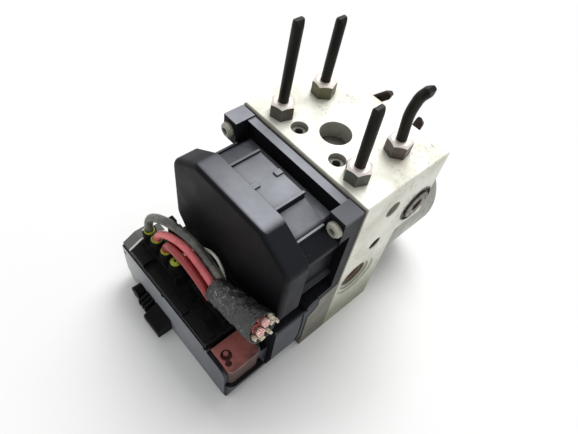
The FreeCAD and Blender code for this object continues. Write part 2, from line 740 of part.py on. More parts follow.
def brake_pipe_front_left():
    return brake_pipe(V(-PORT_X, PORT_FRONT_Y, BLOCK_H), V(0, 0, 1), [PIPE_END_FRONT_LEFT])


def brake_pipe_rear_left():
    return brake_pipe(V(-PORT_X, PORT_REAR_Y, BLOCK_H), V(0, 0, 1), [PIPE_END_REAR_LEFT])


def brake_pipe_front_right():
    return brake_pipe(V(PORT_X, PORT_FRONT_Y, BLOCK_H), V(0, 0, 1), [PIPE_END_FRONT_RIGHT])


def brake_pipe_rear_right():
    """Bent over to the right where it was torn off."""
    return brake_pipe(V(PORT_X, PORT_REAR_Y, BLOCK_H), V(0, 0, 1), list(PIPE_BEND_REAR_RIGHT))


def back_pipe_left():
    return brake_pipe(V(-BACK_PORT_X, TOP_DEPTH, BACK_PORT_Z), V(0, 1, 0), list(PIPE_BEND_BACK_LEFT))


def back_pipe_right():
    return brake_pipe(V(BACK_PORT_X, TOP_DEPTH, BACK_PORT_Z), V(0, 1, 0), list(PIPE_BEND_BACK_RIGHT))


def valve_body(x, z):
    """Pressed-in valve with its closed guide tube standing out of the block."""
    inner = VALVE_TUBE_R - VALVE_TUBE_WALL
    tip = -VALVE_TUBE_L
    profile = [(tip, 0), (tip, VALVE_TUBE_R - 0.8), (tip + 0.8, VALVE_TUBE_R), (0, VALVE_TUBE_R),
               (0, VALVE_FLANGE_R),
               (VALVE_FLANGE_T, VALVE_FLANGE_R), (VALVE_FLANGE_T, VALVE_R), (VALVE_DEPTH - 0.8, VALVE_R),
               (VALVE_DEPTH, VALVE_R - 0.8), (VALVE_DEPTH, VALVE_PASSAGE_R),
               (VALVE_SEAT_Y, VALVE_PASSAGE_R),
               (VALVE_SEAT_Y, inner), (tip + VALVE_TUBE_WALL, inner), (tip + VALVE_TUBE_WALL, 0)]
    return turned(profile, V(x, 0, z), V(0, 1, 0))


def valve_bodies(row_z):
    return Part.makeCompound([valve_body(x, row_z) for x in VALVE_COLUMNS])


def plunger(x, z, lifted):
    """Armature in the guide tube, with its nose on the seat or lifted off it by its stroke."""
    r = VALVE_TUBE_R - VALVE_TUBE_WALL - PLUNGER_CLEARANCE
    back = -VALVE_TUBE_L + VALVE_TUBE_WALL + PLUNGER_END_GAP + PLUNGER_STROKE
    nose = VALVE_SEAT_Y - PLUNGER_END_GAP
    profile = [(back, 0), (back, r - 0.5), (back + 0.5, r), (nose - PLUNGER_NOSE_L, r),
               (nose - PLUNGER_NOSE_L, PLUNGER_NOSE_R),
               (nose - 0.5, PLUNGER_NOSE_R), (nose, 0.5), (nose, 0)]
    return turned(profile, V(x, -PLUNGER_STROKE if lifted else 0, z), V(0, 1, 0))


def coil_bobbins():
    hub_in = VALVE_TUBE_R + 0.2
    hub_out = hub_in + COIL_WALL
    end = COIL_START_Y - COIL_L
    profile = [(end, hub_in), (end, COIL_R), (end + COIL_WALL, COIL_R), (end + COIL_WALL, hub_out),
               (COIL_START_Y - COIL_WALL, hub_out), (COIL_START_Y - COIL_WALL, COIL_R),
               (COIL_START_Y, COIL_R),
               (COIL_START_Y, hub_in)]
    return Part.makeCompound([turned(profile, V(x, 0, z), V(0, 1, 0)) for x, z in VALVES])


def valve_coils():
    inner = VALVE_TUBE_R + 0.2 + COIL_WALL
    outer = COIL_R - 0.3
    end = COIL_START_Y - COIL_L + COIL_WALL
    start = COIL_START_Y - COIL_WALL
    profile = [(end, inner), (end, outer), (start, outer), (start, inner)]
    return Part.makeCompound([turned(profile, V(x, 0, z), V(0, 1, 0)) for x, z in VALVES])


def pump_sleeves():
    bore = PUMP_PISTON_R + RUNNING_CLEARANCE
    inner_end = SLEEVE_END - SLEEVE_END_WALL
    profile = [(SLEEVE_START, bore), (SLEEVE_START, SLEEVE_R - 0.6), (SLEEVE_START + 0.6, SLEEVE_R),
               (SLEEVE_END, SLEEVE_R),
               (SLEEVE_END, 0.8), (inner_end, 0.8), (inner_end, bore)]
    return pair(turned(profile, V(0, PUMP_Y, MOTOR_Z), V(1, 0, 0)))


def pump_plugs():
    """Screw plug that closes the pump bore, sunk below the spotface, with a round socket in it."""
    outer = BLOCK_W / 2 - PLUG_RECESS
    profile = [(SLEEVE_END, 0), (SLEEVE_END, PLUG_R - 0.5), (SLEEVE_END + 0.5, PLUG_R), (outer, PLUG_R),
               (outer, PLUG_SOCKET_R), (outer - PLUG_SOCKET_DEPTH, PLUG_SOCKET_R - 0.4),
               (outer - PLUG_SOCKET_DEPTH, 0)]
    return pair(turned(profile, V(0, PUMP_Y, MOTOR_Z), V(1, 0, 0)))


def pump_piston():
    end = PISTON_START + PUMP_PISTON_L
    profile = [(PISTON_START, 0), (PISTON_START, PUMP_PISTON_R - 1), (PISTON_START + 0.6, PUMP_PISTON_R),
               (end, PUMP_PISTON_R), (end, 1.2), (end - 8, 1.2), (end - 8, 0)]
    return turned(profile, V(0, PUMP_Y, MOTOR_Z), V(1, 0, 0))


def pump_spring():
    start = PISTON_START + PUMP_PISTON_L
    length = SLEEVE_END - SLEEVE_END_WALL - start
    mean = PUMP_PISTON_R - PUMP_SPRING_WIRE_R - 0.2
    return helix_spring(length, mean, PUMP_SPRING_WIRE_R, PUMP_SPRING_TURNS, V(start, PUMP_Y, MOTOR_Z),
                        V(1, 0, 0))


def accumulator_piston():
    """Cup-shaped piston with its open side towards the spring."""
    r = ACC_R - RUNNING_CLEARANCE
    start = ACC_BOTTOM + ACC_PISTON_GAP
    end = start + ACC_PISTON_L
    inner = r - ACC_PISTON_WALL
    profile = [(start, 0), (start, r - SMALL_EDGE), (start + SMALL_EDGE, r), (end, r), (end, inner),
               (start + ACC_PISTON_WALL, inner), (start + ACC_PISTON_WALL, 0)]
    return turned(profile, V(0, ACC_Y, ACC_Z), V(1, 0, 0))


def accumulator_spring():
    start = ACC_BOTTOM + ACC_PISTON_GAP + ACC_PISTON_WALL
    length = BLOCK_W / 2 - ACC_COVER_T - start
    origin = V(start, ACC_Y, ACC_Z)
    return helix_spring(length, ACC_SPRING_R, ACC_SPRING_WIRE_R, ACC_SPRING_TURNS, origin, V(1, 0, 0))


def accumulator_cover():
    """Staked cover, a little proud, with a ring groove, a central dimple with a vent, and staking pits."""
    inner = BLOCK_W / 2 - ACC_COVER_T
    outer = BLOCK_W / 2 + ACC_COVER_PROUD
    lip = outer - ACC_COVER_PROUD * 0.7
    groove = outer - ACC_GROOVE_DEPTH
    dimple = outer - ACC_DIMPLE_DEPTH
    profile = [(inner, ACC_VENT_R), (inner, ACC_COVER_R), (lip, ACC_COVER_R), (lip, ACC_GROOVE_OUT_R),
               (groove, ACC_GROOVE_OUT_R), (groove, ACC_GROOVE_IN_R), (outer - 0.5, ACC_GROOVE_IN_R),
               (outer, ACC_GROOVE_IN_R - 0.5), (outer, ACC_DIMPLE_R), (dimple, ACC_DIMPLE_R - SMALL_EDGE),
               (dimple, ACC_VENT_R)]
    cover = turned(profile, V(0, ACC_Y, ACC_Z), V(1, 0, 0))
    pits = []
    for i in range(ACC_PIT_COUNT):
        angle = math.radians(360 * i / ACC_PIT_COUNT + 12)
        y = ACC_Y + ACC_PIT_CIRCLE_R * math.cos(angle)
        z = ACC_Z + ACC_PIT_CIRCLE_R * math.sin(angle)
        pits.append(rod_x(y, z, ACC_PIT_R, outer - ACC_PIT_DEPTH, outer + 1))
    return cut_all(cover, pits)


def motor_ear(x):
    """Screw ear at the can's open rim, with a neck of its own width that runs into the can."""
    ear = rod_y(x, EAR_Z, EAR_R, MOTOR_FACE_Y, MOTOR_FACE_Y + EAR_T)
    centre = V(x, MOTOR_FACE_Y, EAR_Z)
    inward = V(-x, 0, MOTOR_Z - EAR_Z)
    reach = inward.Length - CAN_R + CAN_WALL
    inward.normalize()
    side = V(-inward.z, 0, inward.x) * EAR_R
    root = centre + inward * reach
    neck = Part.Face(Part.makePolygon([centre + side, root + side, root - side, centre - side,
                                       centre + side]))
    return [ear, neck.extrude(V(0, EAR_T, 0))]


def motor_can():
    """Deep-drawn steel can with a bearing pocket in its end and two screw ears at its open rim."""
    axis = V(0, 0, MOTOR_Z)
    boss_end = CAN_END_Y + BEARING_BOSS_L
    outer = [(MOTOR_FACE_Y, 0), (MOTOR_FACE_Y, CAN_R), (CAN_END_Y, CAN_R), (CAN_END_Y, BEARING_BOSS_R),
             (boss_end, BEARING_BOSS_R), (boss_end, 0)]
    shell = turned(outer, axis, V(0, 1, 0))
    rim = [e for e in shell.Edges if abs(e.BoundBox.YMin - CAN_END_Y) < 1e-4 and e.BoundBox.YLength < 1e-4
           and e.BoundBox.XLength > 2 * CAN_R - 1]
    shell = shell.makeFillet(CAN_EDGE_R, rim)
    shell = fused([shell] + motor_ear(-EAR_X) + motor_ear(EAR_X))
    inside_r = CAN_R - CAN_WALL
    inside_end = CAN_END_Y - CAN_WALL
    ease = CAN_EDGE_R - CAN_WALL
    pocket_end = boss_end - CAN_WALL
    inner = [(MOTOR_FACE_Y - 1, 0), (MOTOR_FACE_Y - 1, inside_r), (inside_end - ease, inside_r),
             (inside_end, inside_r - ease),
             (inside_end, REAR_BEARING_R), (pocket_end, REAR_BEARING_R), (pocket_end, 0)]
    shell = shell.cut(turned(inner, axis, V(0, 1, 0)))
    hole_r = MOTOR_SCREW_R + SCREW_HOLE_GAP
    seat = MOTOR_FACE_Y + EAR_T
    return cut_all(shell, [rod_y(x, EAR_Z, hole_r, MOTOR_FACE_Y - 1, seat + 1) for x in (-EAR_X, EAR_X)])


def motor_screws():
    seat = MOTOR_FACE_Y + EAR_T
    screws = []
    for x in (-EAR_X, EAR_X):
        head = hexagon(MOTOR_SCREW_HEAD_AF, MOTOR_SCREW_HEAD_H, V(x, seat, EAR_Z), V(0, 1, 0))
        shank = rod_y(x, EAR_Z, MOTOR_SCREW_R - THREAD_CLEARANCE, MOTOR_FACE_Y - MOTOR_SCREW_L + 1, seat)
        screws.append(fused([head, shank]))
    return Part.makeCompound(screws)


def bearing(outer_r, bore_r, y0, length):
    """Sealed ball bearing: both races and the seals between them."""
    middle = (outer_r + bore_r) / 2
    seal = (outer_r - bore_r) * 0.2
    inner_r = bore_r + BEARING_FIT
    sunk = 0.5
    profile = [(0, inner_r), (0, middle - seal), (sunk, middle - seal), (sunk, middle + seal),
               (0, middle + seal), (0, outer_r),
               (length, outer_r), (length, middle + seal), (length - sunk, middle + seal),
               (length - sunk, middle - seal),
               (length, middle - seal), (length, inner_r)]
    return turned(profile, V(0, y0, MOTOR_Z), V(0, 1, 0))


def front_bearing():
    return bearing(FRONT_BEARING_R, SHAFT_R, MOTOR_FACE_Y - FRONT_BEARING_L, FRONT_BEARING_L)


REAR_BEARING_Y = CAN_END_Y + BEARING_BOSS_L - CAN_WALL - REAR_BEARING_L


def rear_bearing():
    return bearing(REAR_BEARING_R, SHAFT_END_R, REAR_BEARING_Y, REAR_BEARING_L)


def motor_shaft():
    """Ground shaft with the eccentric that drives both pump pistons turned on its nose."""
    shoulder = REAR_BEARING_Y - 0.4
    start = PUMP_Y + ECCENTRIC_L / 2 + 1.5
    profile = [(start - 1.5, 0), (start - 1.5, SHAFT_R), (shoulder, SHAFT_R), (shoulder, SHAFT_END_R),
               (REAR_BEARING_Y + REAR_BEARING_L - 0.4, SHAFT_END_R),
               (REAR_BEARING_Y + REAR_BEARING_L - 0.4, 0)]
    shaft = turned(profile, V(0, 0, MOTOR_Z), V(0, 1, 0))
    lobe = rod_y(0, MOTOR_Z - ECCENTRIC_THROW, ECCENTRIC_R, PUMP_Y - ECCENTRIC_L / 2,
                 PUMP_Y + ECCENTRIC_L / 2)
    collar = rod_y(0, MOTOR_Z, ECCENTRIC_R + 1.5 * ECCENTRIC_THROW, PUMP_Y + ECCENTRIC_L / 2, start)
    return fused([shaft, lobe, collar])


def eccentric_ring():
    y0 = PUMP_Y - ECCENTRIC_L / 2
    centre_z = MOTOR_Z - ECCENTRIC_THROW
    outer = rod_y(0, centre_z, ECCENTRIC_RING_R, y0, y0 + ECCENTRIC_L - 0.2)
    return outer.cut(rod_y(0, centre_z, ECCENTRIC_R + SHAFT_FIT, y0 - 1, y0 + ECCENTRIC_L + 1))


def slot_angles():
    return [360 * (i + 0.5) / SLOT_COUNT for i in range(SLOT_COUNT)]


def turned_about_motor(shape, angle):
    copy = shape.copy()
    copy.rotate(V(0, 0, MOTOR_Z), V(0, 1, 0), angle)
    return copy


def armature_core():
    """Laminated core with a round slot between each pair of teeth."""
    y0 = CORE_START_Y - 1
    end = CORE_START_Y + CORE_L
    core = rod_y(0, MOTOR_Z, CORE_R, CORE_START_Y, end).cut(rod_y(0, MOTOR_Z, SHAFT_R + SHAFT_FIT, y0,
                                                                  end + 1))
    slot_z = MOTOR_Z + SLOT_CIRCLE_R
    slot = rod_y(0, slot_z, SLOT_R, y0, end + 1)
    mouth = box(-SLOT_MOUTH / 2, SLOT_MOUTH / 2, y0, end + 1, slot_z, MOTOR_Z + CORE_R + 1)
    tool = slot.fuse(mouth)
    return cut_all(core, [turned_about_motor(tool, a) for a in slot_angles()])


def armature_windings():
    """Copper in the slots, with the overhanging turns at both ends."""
    end = CORE_START_Y + CORE_L
    outer = SLOT_CIRCLE_R + SLOT_R
    inner = SHAFT_R + 3
    bulge = WINDING_BULGE
    rings = []
    for y0, y1 in ((CORE_START_Y - WINDING_END_L, CORE_START_Y), (end, end + WINDING_END_L)):
        profile = [(y0, inner + bulge), (y0, outer - bulge), (y0 + bulge, outer), (y1 - bulge, outer),
                   (y1, outer - bulge),
                   (y1, inner + bulge), (y1 - bulge, inner), (y0 + bulge, inner)]
        rings.append(turned(profile, V(0, 0, MOTOR_Z), V(0, 1, 0)))
    bar = rod_y(0, MOTOR_Z + SLOT_CIRCLE_R, SLOT_R - WINDING_GAP, CORE_START_Y - bulge, end + bulge)
    return fused(rings + [turned_about_motor(bar, a) for a in slot_angles()])


def commutator():
    end = COMMUTATOR_START_Y + COMMUTATOR_L
    drum = rod_y(0, MOTOR_Z, COMMUTATOR_R, COMMUTATOR_START_Y, end)
    drum = drum.cut(rod_y(0, MOTOR_Z, SHAFT_R + SHAFT_FIT, COMMUTATOR_START_Y - 1, end + 1))
    rim_z = MOTOR_Z + COMMUTATOR_R
    cut = box(-0.4, 0.4, COMMUTATOR_START_Y - 1, end - 1.5, rim_z - 1, rim_z + 1)
    return cut_all(drum, [turned_about_motor(cut, a) for a in slot_angles()])


def magnets():
    """Curved field magnets bonded inside the can."""
    inner = CORE_R + AIR_GAP
    outer = CAN_R - CAN_WALL
    y0 = CORE_START_Y - MAGNET_OVERHANG
    length = CORE_L + 2 * MAGNET_OVERHANG
    segment = Part.makeCylinder(outer, length, V(0, y0, MOTOR_Z), V(0, 1, 0), MAGNET_ANGLE)
    segment = segment.cut(rod_y(0, MOTOR_Z, inner, y0 - 1, y0 + length + 1))
    return Part.makeCompound([turned_about_motor(segment,
                                                 360 * i / MAGNET_COUNT + 10) for i in range(MAGNET_COUNT)])


def brush_bounds():
    """Where a brush starts outside the commutator, and the heights of its sides."""
    start = COMMUTATOR_R + BRUSH_GAP
    y0 = COMMUTATOR_START_Y + (COMMUTATOR_L - BRUSH_W) / 2
    return start, y0, y0 + BRUSH_W, MOTOR_Z - BRUSH_H / 2, MOTOR_Z + BRUSH_H / 2


def brush_plate():
    """Moulded plate behind the can's rim with a square holder for each brush."""
    y0 = MOTOR_FACE_Y + 0.3
    y1 = y0 + BRUSH_PLATE_T
    start, brush_y0, brush_y1, z0, z1 = brush_bounds()
    plate = rod_y(0, MOTOR_Z, CAN_R - CAN_WALL - 0.2, y0, y1)
    wall = HOLDER_WALL
    first = start + HOLDER_START
    holder = box(first, first + HOLDER_L, y1 - 0.5, brush_y1 + wall + 0.1, z0 - wall, z1 + wall)
    channel = box(first - 1, first + HOLDER_L - wall, brush_y0 - 0.1, brush_y1 + 0.1, z0 - 0.1, z1 + 0.1)
    opening = rod_y(0, MOTOR_Z, SHAFT_R + 2.5, y0 - 1, y1 + 1)
    return cut_all(fused([plate, holder, mirrored(holder)]), [channel, mirrored(channel), opening])


def brushes():
    start, y0, y1, z0, z1 = brush_bounds()
    block = box(start - 1.5, start + BRUSH_L, y0, y1, z0, z1)
    drum = rod_y(0, MOTOR_Z, COMMUTATOR_R + BRUSH_GAP, y0 - 1, y1 + 1)
    return pair(block.cut(drum))


def brush_springs():
    start, y0, y1, z0, z1 = brush_bounds()
    from_x = start + BRUSH_L
    length = start + HOLDER_START + HOLDER_L - HOLDER_WALL - from_x
    mean = BRUSH_H / 2 - BRUSH_SPRING_WIRE_R - 0.3
    origin = V(from_x, (y0 + y1) / 2, MOTOR_Z)
    return pair(helix_spring(length, mean, BRUSH_SPRING_WIRE_R, BRUSH_SPRING_TURNS, origin, V(1, 0, 0)))


def unit_outline(shrink):
    """Corners of the control unit's front, (x, z), pulled in by shrink on every side."""
    half = UNIT_HALF_W - shrink
    top = UNIT_TOP_Z - shrink
    bottom = UNIT_BOTTOM_Z + shrink
    ease = shrink * 0.4
    right = [(half - UNIT_SHOULDER_IN + ease, top), (half, UNIT_SHOULDER_Z - ease),
             (half, UNIT_SKIRT_Z + ease),
             (half - UNIT_BOTTOM_IN + ease, bottom)]
    left = [(-x, z) for x, z in reversed(right)]
    return [(UNIT_CX + x, z) for x, z in right + left]


def unit_front(shrink, y0, y1):
    radius = UNIT_CORNER_R - shrink
    outline = unit_outline(shrink)
    return plate_y(outline, [radius] * len(outline), y0, y1)


def rear_outline():
    """Corners of the body behind the seam: flat label deck, rounded sloping sides and two ledges a side."""
    low = LEDGE_LOW_Z - LEDGE_T
    right = [(DECK_HALF_W, DECK_Z), (DECK_HALF_W, DECK_Z - SIDE_DROP), (PILLOW_MID_X, PILLOW_MID_Z),
             (PILLOW_X, PILLOW_Z),
             (PILLOW_X, LEDGE_HIGH_Z), (SIDE_RECESS_X, LEDGE_HIGH_Z - 1), (SIDE_RECESS_X, LEDGE_LOW_Z + 1),
             (PILLOW_X, LEDGE_LOW_Z), (PILLOW_X, low), (NECK_HALF_W, low - 1), (NECK_HALF_W, REAR_LOW_Z)]
    return right + [(-x, z) for x, z in reversed(right)]


def coil_carrier():
    """Body behind the seam: flange, ears and the bay that takes the coils."""
    radii = [0, 0.8, 9, 3, 0.4, 0.4, 0.4, 0.4, 0.4, 0.4, 0.4]
    body = plate_y(rear_outline(), radii + radii[::-1], SEAM_Y, FLANGE_Y + 1)
    body = body.cut(box(-PILLOW_MID_X, PILLOW_MID_X, CHANNEL_Y, 0, CHANNEL_Z, UNIT_TOP_Z))
    flange = box(-FLANGE_HALF_W, FLANGE_HALF_W, FLANGE_Y, -GASKET_T, FLANGE_LOW_Z, EAR_BLOCK_LOW_Z)
    bar = box(-EAR_BLOCK_IN_X, EAR_BLOCK_IN_X, FLANGE_Y, -GASKET_T, EAR_BLOCK_LOW_Z - 1, FLANGE_TOP_Z)
    pieces = [body, flange, bar]
    for y in (SEAM_Y, CHANNEL_Y - DECK_TAB_L):
        pieces.append(box(-DECK_TAB_W / 2, DECK_TAB_W / 2, y, y + DECK_TAB_L, DECK_Z - 1, DECK_Z + 1))
    for side in (-1, 1):
        ear_x = side * EAR_BLOCK_IN_X
        pieces.append(box(ear_x, side * FLANGE_HALF_W, EAR_BLOCK_Y, -GASKET_T, EAR_BLOCK_LOW_Z,
                          EAR_BLOCK_TOP_Z))
        x = side * (DECK_HALF_W - RIB_W / 2)
        pieces.append(box(x - RIB_W / 2, x + RIB_W / 2, SEAM_Y, CHANNEL_Y, DECK_Z - 1, DECK_Z + RIB_PROUD))
        ridge_x = side * PILLOW_MID_X
        pieces.append(box(ridge_x - 0.6, ridge_x + 0.6, SEAM_Y, EAR_BLOCK_Y, PILLOW_MID_Z - 4,
                          PILLOW_MID_Z + 0.6))
        stand_x = side * (BOARD_HALF_W - 4 * STANDOFF_R)
        for z in (BOARD_LOW_Z + 2 * STANDOFF_R, BOARD_TOP_Z - 2 * STANDOFF_R):
            pieces.append(rod_y(stand_x, z, STANDOFF_R, BOARD_Y, SEAM_Y + 1))
    return fused(pieces)


def coil_bay(y0, y1):
    """Opening for the coils, a wall's thickness inside the body's sloping sides."""
    right = [(PILLOW_MID_X - 1.5, PILLOW_MID_Z - 2.2), (COIL_BAY_HALF_W, PILLOW_Z + 1.5),
             (COIL_BAY_HALF_W, COIL_BAY_LOW_Z)]
    left = [(-x, z) for x, z in reversed(right)]
    return plate_y(right + left, [2, 2, 2, 2, 2, 2], y0, y1)


def saddle():
    """Thin part of the housing that follows the block's step, from the flange down to the foot."""
    profile = [(-GASKET_T, STEP_Z + SADDLE_T + 1), (STEP_Y - SADDLE_T, STEP_Z + SADDLE_T - 1),
               (BASE_Y - 1.5, BASE_TOP_Z),
               (BASE_Y - 1.5, NOSE_Z - 2 * NOSE_DROP), (-GASKET_T, NOSE_Z - 2 * NOSE_DROP)]
    cover = plate_x(profile, [0, 2, 2, 0, 0], -BASE_HALF_W, BASE_HALF_W)
    neck = box(-NECK_HALF_W, NECK_HALF_W, STEP_Y, SEAM_Y, NOSE_Z, REAR_LOW_Z + 2)
    boss = pair(rod_x(BOSS_Y, STEP_Z - STEP_DROP, BOSS_R, NECK_HALF_W - 1, BASE_HALF_W + 0.4))
    return [cover, neck, boss]


def foot():
    """Lower part of the housing in front of the block, drawn in at the ground, with a seam on each side."""
    half = BASE_HALF_W
    low = half - BASE_LOW_IN
    outline = [(-half, BASE_TOP_Z), (half, BASE_TOP_Z), (half, BASE_LOW_Z), (low, 0), (-low, 0),
               (-half, BASE_LOW_Z)]
    body = plate_y(outline, [2, 2, 4, 0, 0, 4], FRONT_Y, BASE_Y)
    line = [V(half, BASE_Y - 4.5, BASE_TOP_Z + 1), V(half, BASE_Y - 3, 36), V(half, BASE_Y - 2.8, 16),
            V(half, BASE_Y - 14, -1)]
    groove = tube(line, SEAM_GROOVE_R)
    return cut_all(body, [groove, mirrored(groove)])


def trough():
    """Open box for the plug: long front wall, rear wall, and a low sill under the lock slide's handle."""
    x0 = TROUGH_X0
    x1 = TROUGH_X1
    sill_x = HANDLE_X0 - SLIDE_GAP
    outline = [(x0, TROUGH_TOP_Z), (x0, TROUGH_CLIP), (x0 + 6, 0), (x1 - BASE_LOW_IN, 0), (x1, BASE_LOW_Z),
               (x1, TROUGH_END_Z),
               (sill_x, TROUGH_END_Z), (sill_x, TROUGH_TOP_Z)]
    body = plate_y(outline, [2, 3, 3, 0, 0, 0, 0, 0.5], TROUGH_Y, TROUGH_BACK_Y)
    plan = [V(x0, TROUGH_Y, -1), V(x1, TROUGH_Y, -1), V(x1, TROUGH_BACK_Y + 1, -1),
            V(x0, TROUGH_BACK_Y + 1, -1)]
    corner = Part.Face(corner_arcs(plan, [1, TROUGH_END_R, 0, 0])).extrude(V(0, 0, TROUGH_TOP_Z + 2))
    body = body.common(corner)
    cheek_outline = [(sill_x - 1, CHEEK_TOP_Z), (CHEEK_X1, CHEEK_TOP_Z), (CHEEK_X1, 1), (sill_x - 1, 1)]
    pieces = [body]
    for y in (TROUGH_Y, TROUGH_BACK_Y - TROUGH_WALL):
        pieces.append(plate_y(cheek_outline, [0, CHEEK_R, 0, 0], y, y + TROUGH_WALL))
    y0 = TROUGH_Y + TROUGH_WALL
    y1 = TROUGH_BACK_Y - TROUGH_WALL
    pocket = box(x0 + TROUGH_WALL, HANDLE_X0 + 1, y0, y1, TROUGH_FLOOR_Z, TROUGH_TOP_Z + 1)
    tools = [pocket, rod_y(STRIP_HOLE_X, STRIP_HOLE_Z, STRIP_HOLE_R, TROUGH_Y - 1, y0 + 1)]
    for x in STRIP_NOTCHES_X:
        notch_z = TROUGH_TOP_Z - STRIP_NOTCH_DEPTH
        tools.append(box(x, x + STRIP_NOTCH_W, TROUGH_Y - 1, y0 + 1, notch_z, TROUGH_TOP_Z + 1))
    return cut_all(fused(pieces), tools)


def latch():
    """Broken latch in front of the trough: a round lug, three ribs and a wedge."""
    y0 = TROUGH_Y + 1
    lug = rod_y(LATCH_X0 + 4, 7, 4.5, y0, TROUGH_Y - LATCH_REACH * 0.6)
    pieces = [lug]
    for i in range(3):
        x = LATCH_X0 + 10 + 3 * i
        rib = plate_x([(y0, 3), (y0, 13), (TROUGH_Y - LATCH_REACH * 0.75, 9),
                       (TROUGH_Y - LATCH_REACH * 0.75, 3)], [0, 0, 2, 1], x, x + 1.6)
        pieces.append(rib)
    wedge = plate_x([(y0, 1), (y0, 13), (TROUGH_Y - LATCH_REACH, 7), (TROUGH_Y - LATCH_REACH, 1)],
                    [0, 0, 2, 1], LATCH_X1 - 16, LATCH_X1)
    bar = box(LATCH_X0 + 4, LATCH_X1 - 1, TROUGH_Y - LATCH_REACH * 0.4, y0, 3, 6)
    return fused(pieces + [wedge, bar])


def connector_base():
    """Foot, trough and the web between them."""
    bridge = box(-BASE_HALF_W + 2, CHEEK_X1, TROUGH_BACK_Y - 1, FRONT_Y + 1, 0, BRIDGE_TOP_Z)
    return fused([foot(), trough(), bridge, latch()] + saddle())


def unit_screw_places():
    return [(-UNIT_SCREW_X, UNIT_SCREW_Z, EAR_BLOCK_Y), (UNIT_SCREW_X, UNIT_SCREW_Z, EAR_BLOCK_Y)]


def ecu_housing():
    whole = fused([coil_carrier(), connector_base()])
    tools = [coil_bay(WEB_Y, 1)]
    for x, z, seat in unit_screw_places():
        tools.append(rod_y(x, z, UNIT_SCREW_R + SCREW_HOLE_GAP, seat - 1, 0))
    for x, z in VALVES:
        tools.append(box(x - 3, x + 3, SEAM_Y - 1, WEB_Y + 1, z - 1, z + 1))
    front = block_front(0.5)
    space = plate_x([(5, STEP_Z + 0.5)] + front[:-1] + [(front[-1][0], -1), (5, -1)], [0] * 7, -BLOCK_W,
                    BLOCK_W)
    return cut_all(whole, tools + [space])


def ecu_cover():
    """Deep front cap welded to the housing along the seam."""
    outer = unit_front(0, FRONT_Y, SEAM_Y - 0.1)
    rim = [e for e in outer.Edges if e.BoundBox.YMax < FRONT_Y + 1e-4]
    outer = outer.makeFillet(COVER_EDGE_R, rim)
    return outer.cut(unit_front(COVER_WALL, FRONT_Y + COVER_WALL, SEAM_Y + 1))


def ecu_gasket():
    z0 = FLANGE_LOW_Z + 0.5
    sheet = box(-FLANGE_HALF_W, FLANGE_HALF_W, -GASKET_T, 0, z0, FLANGE_TOP_Z - 0.5)
    tools = [coil_bay(-GASKET_T - 1, 1)]
    tools += [rod_y(x, z, UNIT_SCREW_R + SCREW_HOLE_GAP, -GASKET_T - 1, 1) for x, z,
              seat in unit_screw_places()]
    return cut_all(sheet, tools)


def circuit_board():
    """Board with its soldered chips and capacitors."""
    y1 = BOARD_Y
    y0 = BOARD_Y - BOARD_T
    middle_z = (BOARD_LOW_Z + BOARD_TOP_Z) / 2
    board = box(UNIT_CX - BOARD_HALF_W, UNIT_CX + BOARD_HALF_W, y0, y1, BOARD_LOW_Z, BOARD_TOP_Z)
    pieces = [board]
    for x, z, w, h, t in ((-2, 6, 16, 16, 1.8), (20, 12, 12, 8, 2.4), (-22, 11, 10, 14, 2.4),
                          (16, -9, 8, 10, 1.8), (-19, -14, 12, 9, 1.8)):
        cx = UNIT_CX + x
        cz = middle_z + z
        pieces.append(box(cx - w / 2, cx + w / 2, y0 - t, y0, cz - h / 2, cz + h / 2))
    for x, z in ((29, -11), (0, -14)):
        pieces.append(rod_y(UNIT_CX + x, middle_z + z, 4, y0 - 4.5, y0))
    return fused(pieces)


def connector_pins():
    pins = []
    for y in PIN_ROWS_Y:
        for i in range(PIN_COLUMNS):
            x = PIN_X0 + i * PIN_PITCH
            pins.append(box(x - PIN_W / 2, x + PIN_W / 2, y - PIN_W / 2, y + PIN_W / 2, TROUGH_FLOOR_Z,
                            PIN_TOP_Z))
    return Part.makeCompound(pins)


def ecu_screws():
    """Pan-head screws with a round driver recess, through the ears into the block."""
    screws = []
    shank_r = UNIT_SCREW_R - THREAD_CLEARANCE
    for x, z, seat in unit_screw_places():
        end = seat - UNIT_SCREW_HEAD_H
        edge = UNIT_SCREW_EDGE
        profile = [(UNIT_SCREW_INTO_BLOCK - 1, 0), (UNIT_SCREW_INTO_BLOCK - 1, shank_r), (seat, shank_r),
                   (seat, UNIT_SCREW_HEAD_R), (end + edge, UNIT_SCREW_HEAD_R),
                   (end + edge / 3, UNIT_SCREW_HEAD_R - edge / 3),
                   (end, UNIT_SCREW_HEAD_R - edge), (end, UNIT_SCREW_SOCKET_R + 0.2),
                   (end + 2, UNIT_SCREW_SOCKET_R), (end + 2, 0)]
        screws.append(turned(profile, V(x, 0, z), V(0, 1, 0)))
    return Part.makeCompound(screws)


